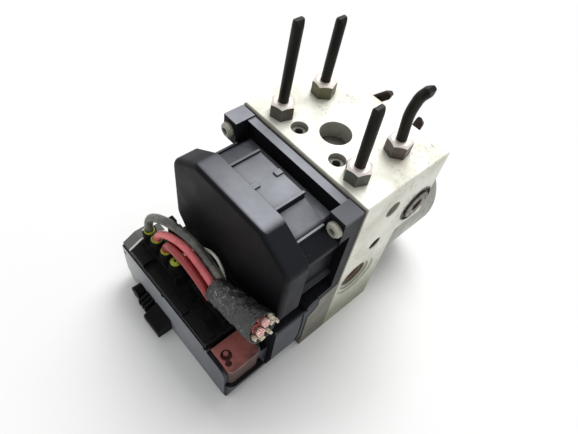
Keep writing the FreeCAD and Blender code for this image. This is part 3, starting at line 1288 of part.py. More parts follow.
def plug_body():
    """Wire plug: skirt over the pins, terraced deck over the trough, and sealed wire exits on turrets."""
    y0 = TROUGH_Y + 0.5
    y1 = TROUGH_BACK_Y - 0.5
    top = PLUG_TOP_Z
    skirt = box(PLUG_X0 + 2.5, PLUG_X1, PLUG_SKIRT_Y0, PLUG_SKIRT_Y1, PLUG_SKIRT_Z, PLUG_DECK_Z)
    deck = box(PLUG_X0, PLUG_X1, y0, y1, PLUG_DECK_Z, top)
    ramp = plate_x([(y0, top - 1), (y0, top), (TOWER_Y0, top + 4.5), (TOWER_Y1, top + 4.5),
                    (TOWER_Y1, top - 1)], [0] * 5,
                   PLUG_X0, PLUG_RAMP_X1 + 1)
    tower = box(PLUG_RAMP_X1, TOWER_X1, TOWER_Y0, TOWER_Y1, top, SEAL_TOP_Z - 6)
    terrace = box(PLUG_RAMP_X1, PLUG_RAMP_X1 + 13, y0, TOWER_Y0, top, top + 3.2)
    shelf = box(PLUG_RAMP_X1 + 18, PLUG_X1 - 22, y0, y0 + 4.5, top, top + 1.8)
    step = box(PLUG_X1 - 20, PLUG_X1 - 2, y0 + 1, y0 + 7, top, top + 1.4)
    ridge = box(TOWER_X1 + 3, PLUG_X1 - 4, TOWER_Y1 - 4, TOWER_Y1, top, top + 3.5)
    tabs = [box(x, x + PLUG_TAB_W, y1 - 4, y1, top, PLUG_TAB_Z) for x in PLUG_TABS_X]
    pieces = [skirt, deck, ramp, tower, terrace, shelf, step, ridge] + tabs
    for x in SEALS_X:
        pieces.append(rod_z(x, SEAL_Y, TURRET_R, top, SEAL_TOP_Z))
    for x in CAM_PINS_X:
        pieces.append(rod_y(x, CAM_PIN_Z, CAM_PIN_R, PLUG_SKIRT_Y0 - SLIDE_RAIL_T, PLUG_SKIRT_Y0 + 1))
        pieces.append(rod_y(x, CAM_PIN_Z, CAM_PIN_R, PLUG_SKIRT_Y1 - 1, PLUG_SKIRT_Y1 + SLIDE_RAIL_T))
    whole = fused(pieces)
    tools = [rod_z(x, SEAL_Y, SEAL_R, SEAL_TOP_Z - SEAL_L, SEAL_TOP_Z + 1) for x in SEALS_X]
    for y in PIN_ROWS_Y:
        half = PLUG_SLOT_W / 2
        tools.append(box(PIN_X0 - 2, PLUG_X1 - 3, y - half, y + half, PLUG_SKIRT_Z - 1, PLUG_SLOT_TOP_Z))
    return cut_all(whole, tools)


def cam_slot(x, y0, y1):
    """Inclined slot that lifts the plug's cam pin as the slide is drawn out."""
    width = CAM_PIN_R + SLIDE_GAP
    low = V(x + 1, y0, CAM_PIN_Z)
    high = V(x - SLIDE_TRAVEL, y0, CAM_PIN_Z + PLUG_LIFT)
    start = rod_y(low.x - 1, low.z, width, y0, y1)
    end = rod_y(high.x, high.z, width, y0, y1)
    run = V(high.x - x, 0, high.z - low.z)
    across = V(-run.z, 0, run.x).normalize() * width
    first = V(x, y0, CAM_PIN_Z)
    points = [first + across, first - across, high - across, high + across]
    bar = Part.Face(Part.makePolygon(points + points[:1])).extrude(V(0, y1 - y0, 0))
    return fused([start, end, bar])


def lock_slide():
    """U-shaped slide: two rails with cam slots, joined by the handle at the right end."""
    front = PLUG_SKIRT_Y0 - SLIDE_GAP
    back = PLUG_SKIRT_Y1 + SLIDE_GAP
    rails = []
    for y0, y1 in ((front - SLIDE_RAIL_T, front), (back, back + SLIDE_RAIL_T)):
        rail = box(SLIDE_RAIL_X0, HANDLE_X0 + 1, y0, y1, SLIDE_RAIL_Z0, SLIDE_RAIL_Z1)
        rails.append(cut_all(rail, [cam_slot(x, y0 - 1, y1 + 1) for x in CAM_PINS_X]))
    z0 = TROUGH_END_Z + SLIDE_GAP
    handle = box(HANDLE_X0, HANDLE_X1, front - SLIDE_RAIL_T, back + SLIDE_RAIL_T, z0, HANDLE_Z1)
    upright = [e for e in handle.Edges if e.BoundBox.ZLength > 1 and e.BoundBox.XMin > HANDLE_X1 - 1e-4]
    handle = handle.makeFillet(HANDLE_EDGE_R, upright)
    top = HANDLE_Z1 + 1
    floor = HANDLE_Z1 - HANDLE_POCKET_DEPTH
    pocket = rod_z(HANDLE_POCKET_X, HANDLE_POCKET_Y, HANDLE_POCKET_R, floor, top)
    pocket = pocket.cut(rod_z(HANDLE_POCKET_X - 1, HANDLE_POCKET_Y + 0.4, HANDLE_POCKET_R * 0.45, floor,
                              top))
    hole = rod_z(HANDLE_HOLE_X, HANDLE_HOLE_Y, HANDLE_HOLE_R, floor, top)
    return cut_all(fused(rails + [handle]), [pocket, hole])


def wire_seals():
    """Lipped rubber seals that close each wire exit."""
    seals = []
    z0 = SEAL_TOP_Z - SEAL_L
    for x, r in zip(SEALS_X, (DARK_WIRE_R, RED_WIRE_R, RED_WIRE_R, WHITE_WIRE_R)):
        bore = r + 0.02
        lip = SEAL_L + SEAL_LIP
        profile = [(0, bore), (0, SEAL_R), (SEAL_L, SEAL_R), (SEAL_L, SEAL_R - 0.2), (lip, r + 0.4),
                   (lip, bore)]
        seals.append(turned(profile, V(x, SEAL_Y, z0), V(0, 0, 1)))
    return Part.makeCompound(seals)


def wrap_axis():
    return (WRAP_END - WRAP_START).normalize()


def tape_wrap():
    """Taped stretch of the harness, widening towards its cut end."""
    length = (WRAP_END - WRAP_START).Length
    profile = [(0, 0), (0, WRAP_MOUTH_R - 1), (1.2, WRAP_MOUTH_R), (length * 0.45, WRAP_MOUTH_R + 1.1),
               (length - 1, WRAP_END_R),
               (length, WRAP_END_R - 0.8), (length, 0)]
    return turned(profile, WRAP_START, wrap_axis())


def wire_ends():
    """Cut ends of the wires, standing out of the far end of the tape."""
    axis = wrap_axis()
    below = V(0, 1, 0).cross(axis).normalize()
    ahead = below.cross(axis).normalize()
    ends = []
    for front, down, r, reach in CUT_ENDS:
        ends.append(Part.makeCylinder(r, reach, WRAP_END + ahead * front + below * down, axis))
    return Part.makeCompound(ends)


def wire_red_a():
    return tube(list(RED_WIRE_A_ROUTE), RED_WIRE_R, None, "wire_red_a")


def wire_red_b():
    return tube(list(RED_WIRE_B_ROUTE), RED_WIRE_R, None, "wire_red_b")


def wire_dark():
    return tube(list(DARK_WIRE_ROUTE), DARK_WIRE_R, None, "wire_dark")


def wire_white():
    return tube(list(WHITE_WIRE_ROUTE), WHITE_WIRE_R, None, "wire_white")


def build_nodes():
    nodes = {
        "valve_block": valve_block(),
        "tube_nuts_top": tube_nuts_top(),
        "tube_nuts_back": tube_nuts_back(),
        "brake_pipe_front_left": brake_pipe_front_left(),
        "brake_pipe_front_right": brake_pipe_front_right(),
        "brake_pipe_rear_left": brake_pipe_rear_left(),
        "brake_pipe_rear_right": brake_pipe_rear_right(),
        "back_pipe_left": back_pipe_left(),
        "back_pipe_right": back_pipe_right(),
        "inlet_valve_bodies": valve_bodies(INLET_ROW_Z),
        "outlet_valve_bodies": valve_bodies(OUTLET_ROW_Z),
        "coil_bobbins": coil_bobbins(),
        "valve_coils": valve_coils(),
        "pump_sleeves": pump_sleeves(),
        "pump_plugs": pump_plugs(),
        "pump_piston_right": pump_piston(),
        "pump_piston_left": mirrored(pump_piston()),
        "pump_spring_right": pump_spring(),
        "pump_spring_left": mirrored(pump_spring()),
        "accumulator_covers": pair(accumulator_cover()),
        "accumulator_piston_right": accumulator_piston(),
        "accumulator_piston_left": mirrored(accumulator_piston()),
        "accumulator_spring_right": accumulator_spring(),
        "accumulator_spring_left": mirrored(accumulator_spring()),
        "motor_can": motor_can(),
        "motor_screws": motor_screws(),
        "front_bearing": front_bearing(),
        "rear_bearing": rear_bearing(),
        "motor_shaft": motor_shaft(),
        "eccentric_ring": eccentric_ring(),
        "armature_core": armature_core(),
        "armature_windings": armature_windings(),
        "commutator": commutator(),
        "magnets": magnets(),
        "brush_plate": brush_plate(),
        "brushes": brushes(),
        "brush_springs": brush_springs(),
        "ecu_housing": ecu_housing(),
        "ecu_cover": ecu_cover(),
        "ecu_gasket": ecu_gasket(),
        "circuit_board": circuit_board(),
        "connector_pins": connector_pins(),
        "ecu_screws": ecu_screws(),
        "plug_body": plug_body(),
        "lock_slide": lock_slide(),
        "wire_seals": wire_seals(),
        "wire_red_a": wire_red_a(),
        "wire_red_b": wire_red_b(),
        "wire_dark": wire_dark(),
        "wire_white": wire_white(),
        "tape_wrap": tape_wrap(),
        "wire_ends": wire_ends(),
    }
    for number, x in enumerate(VALVE_COLUMNS, 1):
        nodes["inlet_plunger_%d" % number] = plunger(x, INLET_ROW_Z, True)
        nodes["outlet_plunger_%d" % number] = plunger(x, OUTLET_ROW_Z, False)
    return nodes


def main():
    os.makedirs("parts", exist_ok=True)
    for name, shape in build_nodes().items():
        if not shape.isValid():
            print("not valid:", name)
        shape.exportStep("parts/%s.step" % name)


main()
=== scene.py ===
import math
import random

import bpy
from bpy.props import FloatProperty, FloatVectorProperty, IntProperty, PointerProperty
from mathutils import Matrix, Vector, noise


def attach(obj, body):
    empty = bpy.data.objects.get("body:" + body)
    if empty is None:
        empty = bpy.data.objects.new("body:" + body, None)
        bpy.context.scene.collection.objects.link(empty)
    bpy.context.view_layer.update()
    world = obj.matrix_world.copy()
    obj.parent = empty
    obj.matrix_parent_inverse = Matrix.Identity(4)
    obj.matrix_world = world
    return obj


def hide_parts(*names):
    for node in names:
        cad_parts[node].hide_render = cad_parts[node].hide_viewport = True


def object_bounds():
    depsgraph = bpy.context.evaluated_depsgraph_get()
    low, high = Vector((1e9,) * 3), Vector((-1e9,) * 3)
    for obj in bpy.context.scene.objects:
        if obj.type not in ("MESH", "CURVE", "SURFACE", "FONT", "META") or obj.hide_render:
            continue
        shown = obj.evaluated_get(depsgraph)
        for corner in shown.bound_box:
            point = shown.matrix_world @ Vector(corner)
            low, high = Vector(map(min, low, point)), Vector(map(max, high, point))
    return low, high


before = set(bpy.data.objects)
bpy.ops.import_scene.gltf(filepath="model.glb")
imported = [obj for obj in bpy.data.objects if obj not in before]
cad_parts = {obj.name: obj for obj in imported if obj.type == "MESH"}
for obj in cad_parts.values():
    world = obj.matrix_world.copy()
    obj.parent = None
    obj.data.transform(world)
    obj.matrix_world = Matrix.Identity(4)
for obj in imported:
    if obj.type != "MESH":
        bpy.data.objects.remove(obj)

bl_info = {
    "name": "Brake Unit Dressing",
    "version": (1, 0, 0),
    "blender": (4, 5, 0),
    "location": "3D View > Sidebar > Brake Unit",
    "description": "Finishes, wires and torn ends of a used anti-lock brake unit",
    "category": "Object",
}

MM = 0.001
CAD_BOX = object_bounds()

# Routes of the free wires from their seals to the tape, in millimetres
RED_WIRE_A_ROUTE = ((-43.8, -62, 50), (-43.3, -62, 59), (-32, -59.2, 68), (-13, -57.4, 71), (7, -57.5, 61))
RED_WIRE_B_ROUTE = ((-33.8, -62, 50), (-33.8, -62.5, 59), (-25, -62.9, 67), (-9, -62.2, 67.5), (8, -61.6, 57))
DARK_WIRE_ROUTE = ((-51.5, -62, 50), (-53.2, -61.5, 59), (-49, -59.6, 68), (-34, -55.6, 73),
                   (-13, -52.2, 71.6), (6, -52.4, 62.2))
WHITE_WIRE_ROUTE = ((-24.4, -62, 50), (-24, -60.5, 55), (-19.5, -50.2, 64), (-7, -48.2, 71.5), (2, -48.2, 64),
                    (7, -50.4, 56.5))

# Ends of the taped stretch's axis
WRAP_START = Vector((7.0, -57.0, 60.0)) * MM
WRAP_END = Vector((42.5, -55.0, 70.0)) * MM


def linear(level):
    """Scene value of a display level from 0 to 255."""
    level /= 255
    return level / 12.92 if level <= 0.04045 else ((level + 0.055) / 1.055) ** 2.4


def shown(*levels):
    """Scene values of a colour in display levels."""
    return tuple(linear(v) for v in levels)


def toned(tint, share):
    """The tint with all three values times share."""
    return tuple(x * share for x in tint)


# Tints that belong to one place only
NUT_OLIVE = shown(96, 94, 66)
NUT_GREEN = shown(84, 88, 78)
NUT_ROSE = shown(96, 84, 78)
NUT_TARNISH = (0.01, 0.01, 0.008)
NUT_FOOT = (0.015, 0.013, 0.01)
PIPE_ROOT = shown(66, 40, 28)
COVER_STAIN = shown(176, 150, 142)
# Painted shade on the control unit: in its recesses, on the cap's front and over the latch.
UNIT_SHADE_BLACK = shown(12, 12, 14)
# Painted reflection on the trough's glossy black front wall, from its left end to its right.
WALL_REFLECTION_LEFT = shown(184, 184, 184)
WALL_REFLECTION_MIDDLE = shown(134, 137, 142)
WALL_REFLECTION_RIGHT = shown(100, 102, 108)
# Painted highlight on the up-sloping ramp at the plug's left end.
PLUG_RAMP_HIGHLIGHT = shown(104, 104, 102)
# Painted shade: the lower red wire is a darker copy of the red, as it lies in the upper one's shade.
SHADED_RED_SHARE = (0.42, 0.16, 0.16)

# Inner pieces, as scene values
CORE_STEEL = (0.16, 0.16, 0.17)
WINDING_COPPER = (0.55, 0.24, 0.12)
MAGNET_FERRITE = (0.03, 0.03, 0.032)
BRUSH_CARBON = (0.02, 0.02, 0.02)
BRUSH_PLASTIC = (0.04, 0.035, 0.03)
SPRING_STEEL = (0.30, 0.30, 0.31)
BOARD_LACQUER = (0.02, 0.10, 0.04)
COIL_COPPER = (0.50, 0.20, 0.10)
BOBBIN_PLASTIC = (0.05, 0.04, 0.03)

# Where finishes change, in metres along one axis: where the change starts, and where it is full
BLOCK_FOOT_Z = (0.066, 0.010)
BLOCK_WORN_Y = (0.004, 0.05)
BLOCK_TOP_Z = (0.1249, 0.1243)
BLOCK_SIDE_X = (0.0449, 0.0443)
BLOCK_SEAM_Y = (0.0016, 0.0011)
NUT_RIGHT_X = (-0.002, 0.002)
NUT_REAR_Y = (0.024, 0.028)
NUT_FOOT_Z = (0.1295, 0.1252)
NUT_HIGHLIGHT_Z = (0.128, 0.131)
PIPE_ROOT_Z = (0.143, 0.131)
COVER_STAIN_Y = (0.05, 0.06)
COVER_STAIN_Z = (0.094, 0.084)
COVER_SUNK_X = (0.0462, 0.0456)
UNIT_DECK_Z = (0.060, 0.092)
UNIT_SHADED_X = (0.006, -0.034)
UNIT_BELOW_FLANGE_Z = (0.1222, 0.1212)
RIGHT_EAR_X = (0.0343, 0.0347)
EAR_TOP_Z = (0.1222, 0.1232)
UNIT_LOW_SIDE_Z = (0.062, 0.046)
CAP_FRONT_Z = (0.050, 0.060)
TROUGH_WALL_Y = (-0.0757, -0.0759)
WALL_LEFT_X = (-0.062, -0.036)
WALL_RIGHT_X = (-0.010, 0.034)
LATCH_Y = (-0.0763, -0.0766)
PLUG_RAMP_X = (-0.0533, -0.0540)
PLUG_RIM_X = (-0.0552, -0.0542)
SLIDE_OUTER_X = (0.030, 0.046)
SLIDE_LOW_Z = (0.034, 0.020)
TAPE_MOUTH_X = (0.030, 0.018)
TAPE_UPPER_Z = (0.064, 0.069)
TAPE_PULLED_X = (0.014, 0.026)

# Holes whose walls get painted shade, in millimetres: place along two axes, and radius
TOP_BORES = (((0, 24.5), 8.7), ((13.9, 11.6), 4.7))
SIDE_BORES = (((27.3, 105.2), 5.2), ((24.3, 76.3), 4.4), ((17.6, 47.0), 9.6), ((53.0, 91.0), 12.2))
COVER_CENTRE = (53, 91)
COVER_RINGS = (8.4, 11.7, 4.3)


def colour(name, text, red, green, blue):
    """A colour setting whose default is given in display levels from 0 to 255."""
    return FloatVectorProperty(name=name, description=text, default=shown(red, green, blue), size=3,
                               min=0, max=1, subtype="COLOR")


def size(name, text, millimetres):
    """A length setting whose default is given in millimetres."""
    return FloatProperty(name=name, description=text, default=millimetres * MM, min=0, unit="LENGTH",
                         subtype="DISTANCE")


class BrakeUnitColours(bpy.types.PropertyGroup):
    """Colours of the unit's finishes"""
    block: colour("Block", "Clean machined aluminium", 226, 226, 215)
    block_shade: colour("Block stain", "Weathered patches on the block", 200, 198, 182)
    # Block foot: the darker grey-green that the block turns towards its bottom.
    block_low: colour("Block foot", "Damp-stained lower part of the block", 122, 124, 104)
    # Grime is real dirt in pits, scuffs and streaks, and also the painted shade that the corner masks of the
    # block, nuts, can, cover, pump plugs and screws mix in.
    grime: colour("Grime", "Dirt in corners and pits", 88, 82, 66)
    # Hole walls: painted shade in the block's holes and along its seam with the unit, and, darker, in the
    # cover's sunk groove and eye.
    hole_shade: colour("Hole walls", "Dark walls of the block's holes", 70, 66, 53)
    plating: colour("Nut plating", "Tarnished zinc on the tube nuts", 84, 80, 70)
    # Nut face: painted highlight on the nuts' up-facing end faces and along their edges.
    plating_highlight: colour("Nut face", "Paler end faces of the tube nuts", 224, 216, 208)
    rust: colour("Rust", "Rust on steel", 112, 72, 50)
    coating: colour("Pipe coating", "Black coating of the brake pipes", 20, 20, 17)
    can: colour("Motor can", "Drawn steel of the motor can", 146, 146, 138)
    cover: colour("Accumulator cover", "Dirty staked covers", 124, 120, 110)
    bright: colour("Bright steel", "Freshly torn or ground steel", 205, 204, 198)
    unit: colour("Unit plastic", "Moulded control unit", 30, 31, 36)
    # Painted light: lightens the unit's low right sides, and is the painted highlight along the edges of the
    # unit, plug and slide.
    unit_painted_light: colour("Unit plastic, painted light", "Worn edges and low sides of the control unit", 96, 98, 104)
    # Open unit plastic: painted highlight on the unit's up-facing faces, dimmer on the right ear.
    unit_top_highlight: colour("Open unit plastic", "Faces that lie open to the light", 154, 156, 163)
    screw: colour("Screw coating", "Grey flake coating of the unit's screws", 166, 166, 154)
    plug: colour("Plug plastic", "Moulded wire plug", 11, 11, 12)
    slide: colour("Lock slide", "Faded red slide", 166, 96, 90)
    # Soot is also the painted shade in the corners of the rubber finishes.
    soot: colour("Soot", "Black grime on the plug and slide", 42, 38, 34)
    seal: colour("Wire seal", "Yellow-green silicone", 176, 184, 44)
    red_wire: colour("Red wire", "Insulation of the two thick wires", 222, 108, 112)
    dark_wire: colour("Dark wire", "Insulation of the dark wire", 78, 80, 76)
    # The white wire's colour is also that of the painted glints on the tape and of the painted glint along
    # the plug's rim.
    white_wire: colour("White wire", "Insulation of the thin wire", 222, 222, 214)
    tape: colour("Tape", "Harness tape", 54, 56, 55)
    copper: colour("Cut copper", "Freshly cut strands", 240, 196, 188)
    tinned: colour("Cut tinned wire", "Freshly cut tinned strands", 224, 216, 192)


class BrakeUnitSizes(bpy.types.PropertyGroup):
    """Sizes of the edges, the wires and the tape"""
    edge: size("Edge radius", "How far broken edges look rounded", 0.35)
    red_wire: size("Red wire radius", "Outer radius of the two thick wires", 2.3)
    dark_wire: size("Dark wire radius", "Outer radius of the dark wire", 2.6)
    white_wire: size("White wire radius", "Outer radius of the thin wire", 0.9)
    wrap: size("Wrap radius", "Outer radius of the taped stretch at its cut end", 9.6)
    wrap_mouth: size("Wrap mouth radius", "Radius of the tape where the wires go in", 7.4)
    strands: IntProperty(name="Strands", description="Copper strands in a thick wire", default=19, min=7,
                         max=37)


class Finish:
    """A procedural material whose pattern is fixed to the piece, with sizes in metres."""

    normal = None

    def __init__(self, name, roughness=0.5, metallic=0.0, specular=0.5):
        self.material = bpy.data.materials.new(name)
        self.material.use_nodes = True
        self.tree = self.material.node_tree
        self.shader = self.tree.nodes["Principled BSDF"]
        self.shader.inputs["Roughness"].default_value = roughness
        self.shader.inputs["Metallic"].default_value = metallic
        self.shader.inputs["Specular IOR Level"].default_value = specular
        self.place = self.node("ShaderNodeTexCoord").outputs["Object"]

    def node(self, kind, **settings):
        """A new shader node of this kind."""
        made = self.tree.nodes.new(kind)
        for key, value in settings.items():
            setattr(made, key, value)
        return made

    def feed(self, socket, value):
        """Links a socket to another, or sets its value."""
        if isinstance(value, bpy.types.NodeSocket):
            self.tree.links.new(value, socket)
        elif socket.type == "RGBA" and len(value) == 3:
            socket.default_value = (*value, 1.0)
        else:
            socket.default_value = value

    def math(self, operation, first, second=0.0):
        """A sum kept between 0 and 1."""
        made = self.node("ShaderNodeMath", operation=operation, use_clamp=True)
        self.feed(made.inputs[0], first)
        self.feed(made.inputs[1], second)
        return made.outputs[0]

    def free_math(self, operation, first, second):
        """A sum that may leave the range from 0 to 1."""
        made = self.node("ShaderNodeMath", operation=operation)
        self.feed(made.inputs[0], first)
        self.feed(made.inputs[1], second)
        return made.outputs[0]

    def times(self, first, second):
        return self.math("MULTIPLY", first, second)

    def span(self, value, low, high):
        """0 where value is at low, 1 where it is at high, and even between them."""
        made = self.node("ShaderNodeMapRange")
        self.feed(made.inputs["Value"], value)
        made.inputs["From Min"].default_value = low
        made.inputs["From Max"].default_value = high
        return made.outputs["Result"]

    def level(self, share, low, high):
        """A number that goes from low to high as share goes from 0 to 1."""
        made = self.node("ShaderNodeMapRange")
        self.feed(made.inputs["Value"], share)
        made.inputs["To Min"].default_value = low
        made.inputs["To Max"].default_value = high
        return made.outputs["Result"]

    def axis(self, letter):
        """Place along an axis of the piece, in metres."""
        made = self.node("ShaderNodeSeparateXYZ")
        self.feed(made.inputs[0], self.place)
        return made.outputs[letter]

    def facing(self, letter):
        """How far the surface faces along an axis of the piece."""
        made = self.node("ShaderNodeSeparateXYZ")
        self.feed(made.inputs[0], self.node("ShaderNodeTexCoord").outputs["Normal"])
        return made.outputs[letter]

    def within(self, first, second, place, radius):
        """1 inside a round column that runs square to two axes, with its place and radius in millimetres."""
        flat = self.node("ShaderNodeCombineXYZ")
        self.feed(flat.inputs[0], first)
        self.feed(flat.inputs[1], second)
        away = self.node("ShaderNodeVectorMath", operation="DISTANCE")
        self.feed(away.inputs[0], flat.outputs[0])
        away.inputs[1].default_value = (place[0] * MM, place[1] * MM, 0)
        soft = 0.12
        return self.span(away.outputs["Value"], (radius + soft) * MM, (radius - soft) * MM)

    def any_of(self, *shares):
        """The largest of the shares."""
        most = shares[0]
        for share in shares[1:]:
            most = self.math("MAXIMUM", most, share)
        return most

    def stretched(self, stretch, shift=0.0):
        """Places scaled and shifted, so that a pattern is stretched or lies elsewhere."""
        made = self.node("ShaderNodeMapping")
        self.feed(made.inputs["Vector"], self.place)
        made.inputs["Scale"].default_value = stretch
        made.inputs["Location"].default_value = (shift, shift, shift)
        return made.outputs["Vector"]

    def noise(self, grain, detail=3.0, rough=0.55, stretch=(1, 1, 1), shift=0.0, warp=0.0):
        """Soft blotches about grain metres across, mostly from 0.3 to 0.7."""
        made = self.node("ShaderNodeTexNoise")
        self.feed(made.inputs["Vector"], self.stretched(stretch, shift))
        made.inputs["Scale"].default_value = 1 / grain
        made.inputs["Detail"].default_value = detail
        made.inputs["Roughness"].default_value = rough
        made.inputs["Distortion"].default_value = warp
        return made.outputs["Fac"]

    def specks(self, grain, share, shift=0.0):
        """Round specks on a grid of cells about grain metres across; share is a speck's size in its cell."""
        made = self.node("ShaderNodeTexVoronoi")
        self.feed(made.inputs["Vector"], self.stretched((1, 1, 1), shift))
        made.inputs["Scale"].default_value = 1 / grain
        return self.span(made.outputs["Distance"], share, share * 0.6)

    def scratches(self, grain, width, shift=0.0):
        """Thin wandering lines where two even levels of a noise meet."""
        waves = self.noise(grain, 2.0, 0.5, shift=shift, warp=0.6)
        away = self.math("ABSOLUTE", self.free_math("SUBTRACT", waves, 0.5))
        return self.span(away, width, 0.0)

    def mixed(self, share, first, second):
        """The first colour, turning into the second where share is 1."""
        made = self.node("ShaderNodeMix", data_type="RGBA")
        self.feed(made.inputs["Factor"], share)
        self.feed(made.inputs[6], first)
        self.feed(made.inputs[7], second)
        return made.outputs[2]

    def corners(self, reach):
        """1 deep in corners and holes, 0 on open faces."""
        made = self.node("ShaderNodeAmbientOcclusion", samples=6)
        made.inputs["Distance"].default_value = reach
        return self.span(made.outputs["AO"], 0.85, 0.25)

    def rounded(self, radius):
        """Shades the edges as if rounded, and returns 1 along them."""
        made = self.node("ShaderNodeBevel", samples=4)
        made.inputs["Radius"].default_value = radius
        self.normal = made.outputs["Normal"]
        dot = self.node("ShaderNodeVectorMath", operation="DOT_PRODUCT")
        self.feed(dot.inputs[0], made.outputs["Normal"])
        self.feed(dot.inputs[1], self.node("ShaderNodeNewGeometry").outputs["Normal"])
        return self.span(dot.outputs["Value"], 0.995, 0.9)

    def relief(self, height, depth):
        """Adds bumps of that depth in metres on top of what is there."""
        made = self.node("ShaderNodeBump")
        made.inputs["Strength"].default_value = 1.0
        made.inputs["Distance"].default_value = depth
        self.feed(made.inputs["Height"], height)
        if self.normal:
            self.feed(made.inputs["Normal"], self.normal)
        self.normal = made.outputs["Normal"]

    def done(self, base, roughness=None):
        """Wires up the shader and returns the material."""
        self.feed(self.shader.inputs["Base Color"], base)
        if roughness is not None:
            self.feed(self.shader.inputs["Roughness"], roughness)
        if self.normal:
            self.feed(self.shader.inputs["Normal"], self.normal)
        return self.material


def block_finish(c, s):
    """Machined aluminium, blotched, pitted and scuffed, darker towards its foot, with painted shade in its
    holes and along its seam with the unit, and grime with painted shade in its corners.
    """
    f = Finish("Block aluminium", roughness=0.5, metallic=0.12)
    edge = f.rounded(s.edge)
    across, back, up = (f.axis(letter) for letter in "XYZ")
    off_centre = f.free_math("ABSOLUTE", across, 0.0)
    broad = f.span(f.noise(0.02, 4.0, 0.6), 0.42, 0.72)
    base = f.mixed(broad, c.block, c.block_shade)
    # Darker grey-green towards the bottom of the block.
    base = f.mixed(f.times(f.span(up, *BLOCK_FOOT_Z), 0.95), base, c.block_low)
    rear = f.span(back, *BLOCK_WORN_Y)
    mottle = f.times(f.span(f.noise(0.0022, 4.0, 0.7), 0.5, 0.66),
                     f.span(f.noise(0.011, 3.0, shift=4.0), 0.5, 0.62))
    base = f.mixed(f.times(mottle, f.level(rear, 0.3, 0.8)), base, toned(c.block_shade, 0.62))
    scuffs = f.times(f.scratches(0.006, 0.016, 3.0), f.span(f.noise(0.013, 2.0, shift=7.0), 0.5, 0.62))
    scuffs = f.times(scuffs, f.level(rear, 0.15, 0.5))
    pits = f.times(f.specks(0.0021, 0.2), f.span(f.noise(0.012, 3.0, shift=1.0), 0.52, 0.66))
    # Patchy grime in the corners together with painted shade, from the corner mask.
    crevice_grime_and_shade = f.times(f.corners(0.004), f.span(f.noise(0.004, 4.0, 0.7, shift=5.0), 0.3, 0.6))
    dirt_and_corner_shade = f.any_of(scuffs, f.times(pits, 0.6), f.times(crevice_grime_and_shade, 0.6))
    base = f.mixed(dirt_and_corner_shade, base, c.grime)
    base = f.mixed(f.times(edge, 0.5), base, c.block)
    # Painted shade: the walls of the top and side holes, and the strip along the seam with the unit, turn to
    # the dark hole tone.
    top_bores = f.any_of(*(f.within(off_centre, back, *bore) for bore in TOP_BORES))
    top_bores = f.times(top_bores, f.span(up, *BLOCK_TOP_Z))
    side_bores = f.any_of(*(f.within(back, up, *bore) for bore in SIDE_BORES))
    side_bores = f.times(side_bores, f.span(off_centre, *BLOCK_SIDE_X))
    seam_shade = f.times(f.span(back, *BLOCK_SEAM_Y), 0.85)
    hole_shade_tone = f.mixed(f.span(f.noise(0.005, 3.0, shift=9.0), 0.35, 0.65), c.hole_shade, toned(c.hole_shade, 0.55))
    base = f.mixed(f.times(f.any_of(top_bores, side_bores, seam_shade), 0.92), base, hole_shade_tone)
    f.relief(f.noise(0.0005, 2.0, 0.5, stretch=(1, 6, 1)), 0.00003)
    f.relief(dirt_and_corner_shade, -0.00012)
    return f.done(base, f.level(f.math("ADD", broad, dirt_and_corner_shade), 0.42, 0.62))


def nut_finish(c, s):
    """Tarnished zinc with a tint of its own for each nut: dark flanks, darker towards the foot, a painted
    highlight on the up-facing end faces and edges, and painted shade in the corners.
    """
    f = Finish("Nut plating", metallic=0.25)
    edge = f.rounded(s.edge)
    up = f.axis("Z")
    patch = f.span(f.noise(0.004, 4.0, 0.65), 0.4, 0.65)
    right = f.span(f.axis("X"), *NUT_RIGHT_X)
    rear = f.span(f.axis("Y"), *NUT_REAR_Y)
    tint = f.mixed(right, f.mixed(rear, c.plating, NUT_OLIVE), f.mixed(rear, NUT_GREEN, NUT_ROSE))
    tint = f.mixed(f.times(f.span(f.facing("X"), -0.3, -0.8), 0.6), tint, NUT_OLIVE)
    base = f.mixed(f.times(patch, 0.5), tint, f.mixed(0.5, tint, NUT_TARNISH))
    base = f.mixed(f.times(f.span(up, *NUT_FOOT_Z), 0.55), base, NUT_FOOT)
    # Painted highlight: the up-facing end faces turn pale.
    top = f.times(f.span(f.facing("Z"), 0.45, 0.8), f.span(up, *NUT_HIGHLIGHT_Z))
    base = f.mixed(f.times(top, 0.92), base, c.plating_highlight)
    # Painted shade in the corners.
    base = f.mixed(f.times(f.corners(0.0015), 0.5), base, c.grime)
    # Painted highlight along the edges.
    base = f.mixed(f.times(edge, 0.25), base, c.plating_highlight)
    f.relief(f.noise(0.0009, 3.0), 0.00005)
    return f.done(base, f.level(patch, 0.36, 0.55))


def pipe_finish(c):
    """Black coated pipe, a little browner where it enters the nut."""
    f = Finish("Pipe coating", roughness=0.4, specular=0.12)
    streak = f.span(f.noise(0.003, 3.0, stretch=(1, 1, 0.12)), 0.5, 0.8)
    base = f.mixed(f.times(streak, 0.15), c.coating, c.grime)
    root = f.times(f.span(f.axis("Z"), *PIPE_ROOT_Z), f.span(f.noise(0.004, 3.0, shift=4.0), 0.3, 0.6))
    base = f.mixed(f.times(root, 0.3), base, PIPE_ROOT)
    f.relief(f.noise(0.0014, 3.0), 0.00006)
    return f.done(base, f.level(streak, 0.34, 0.52))


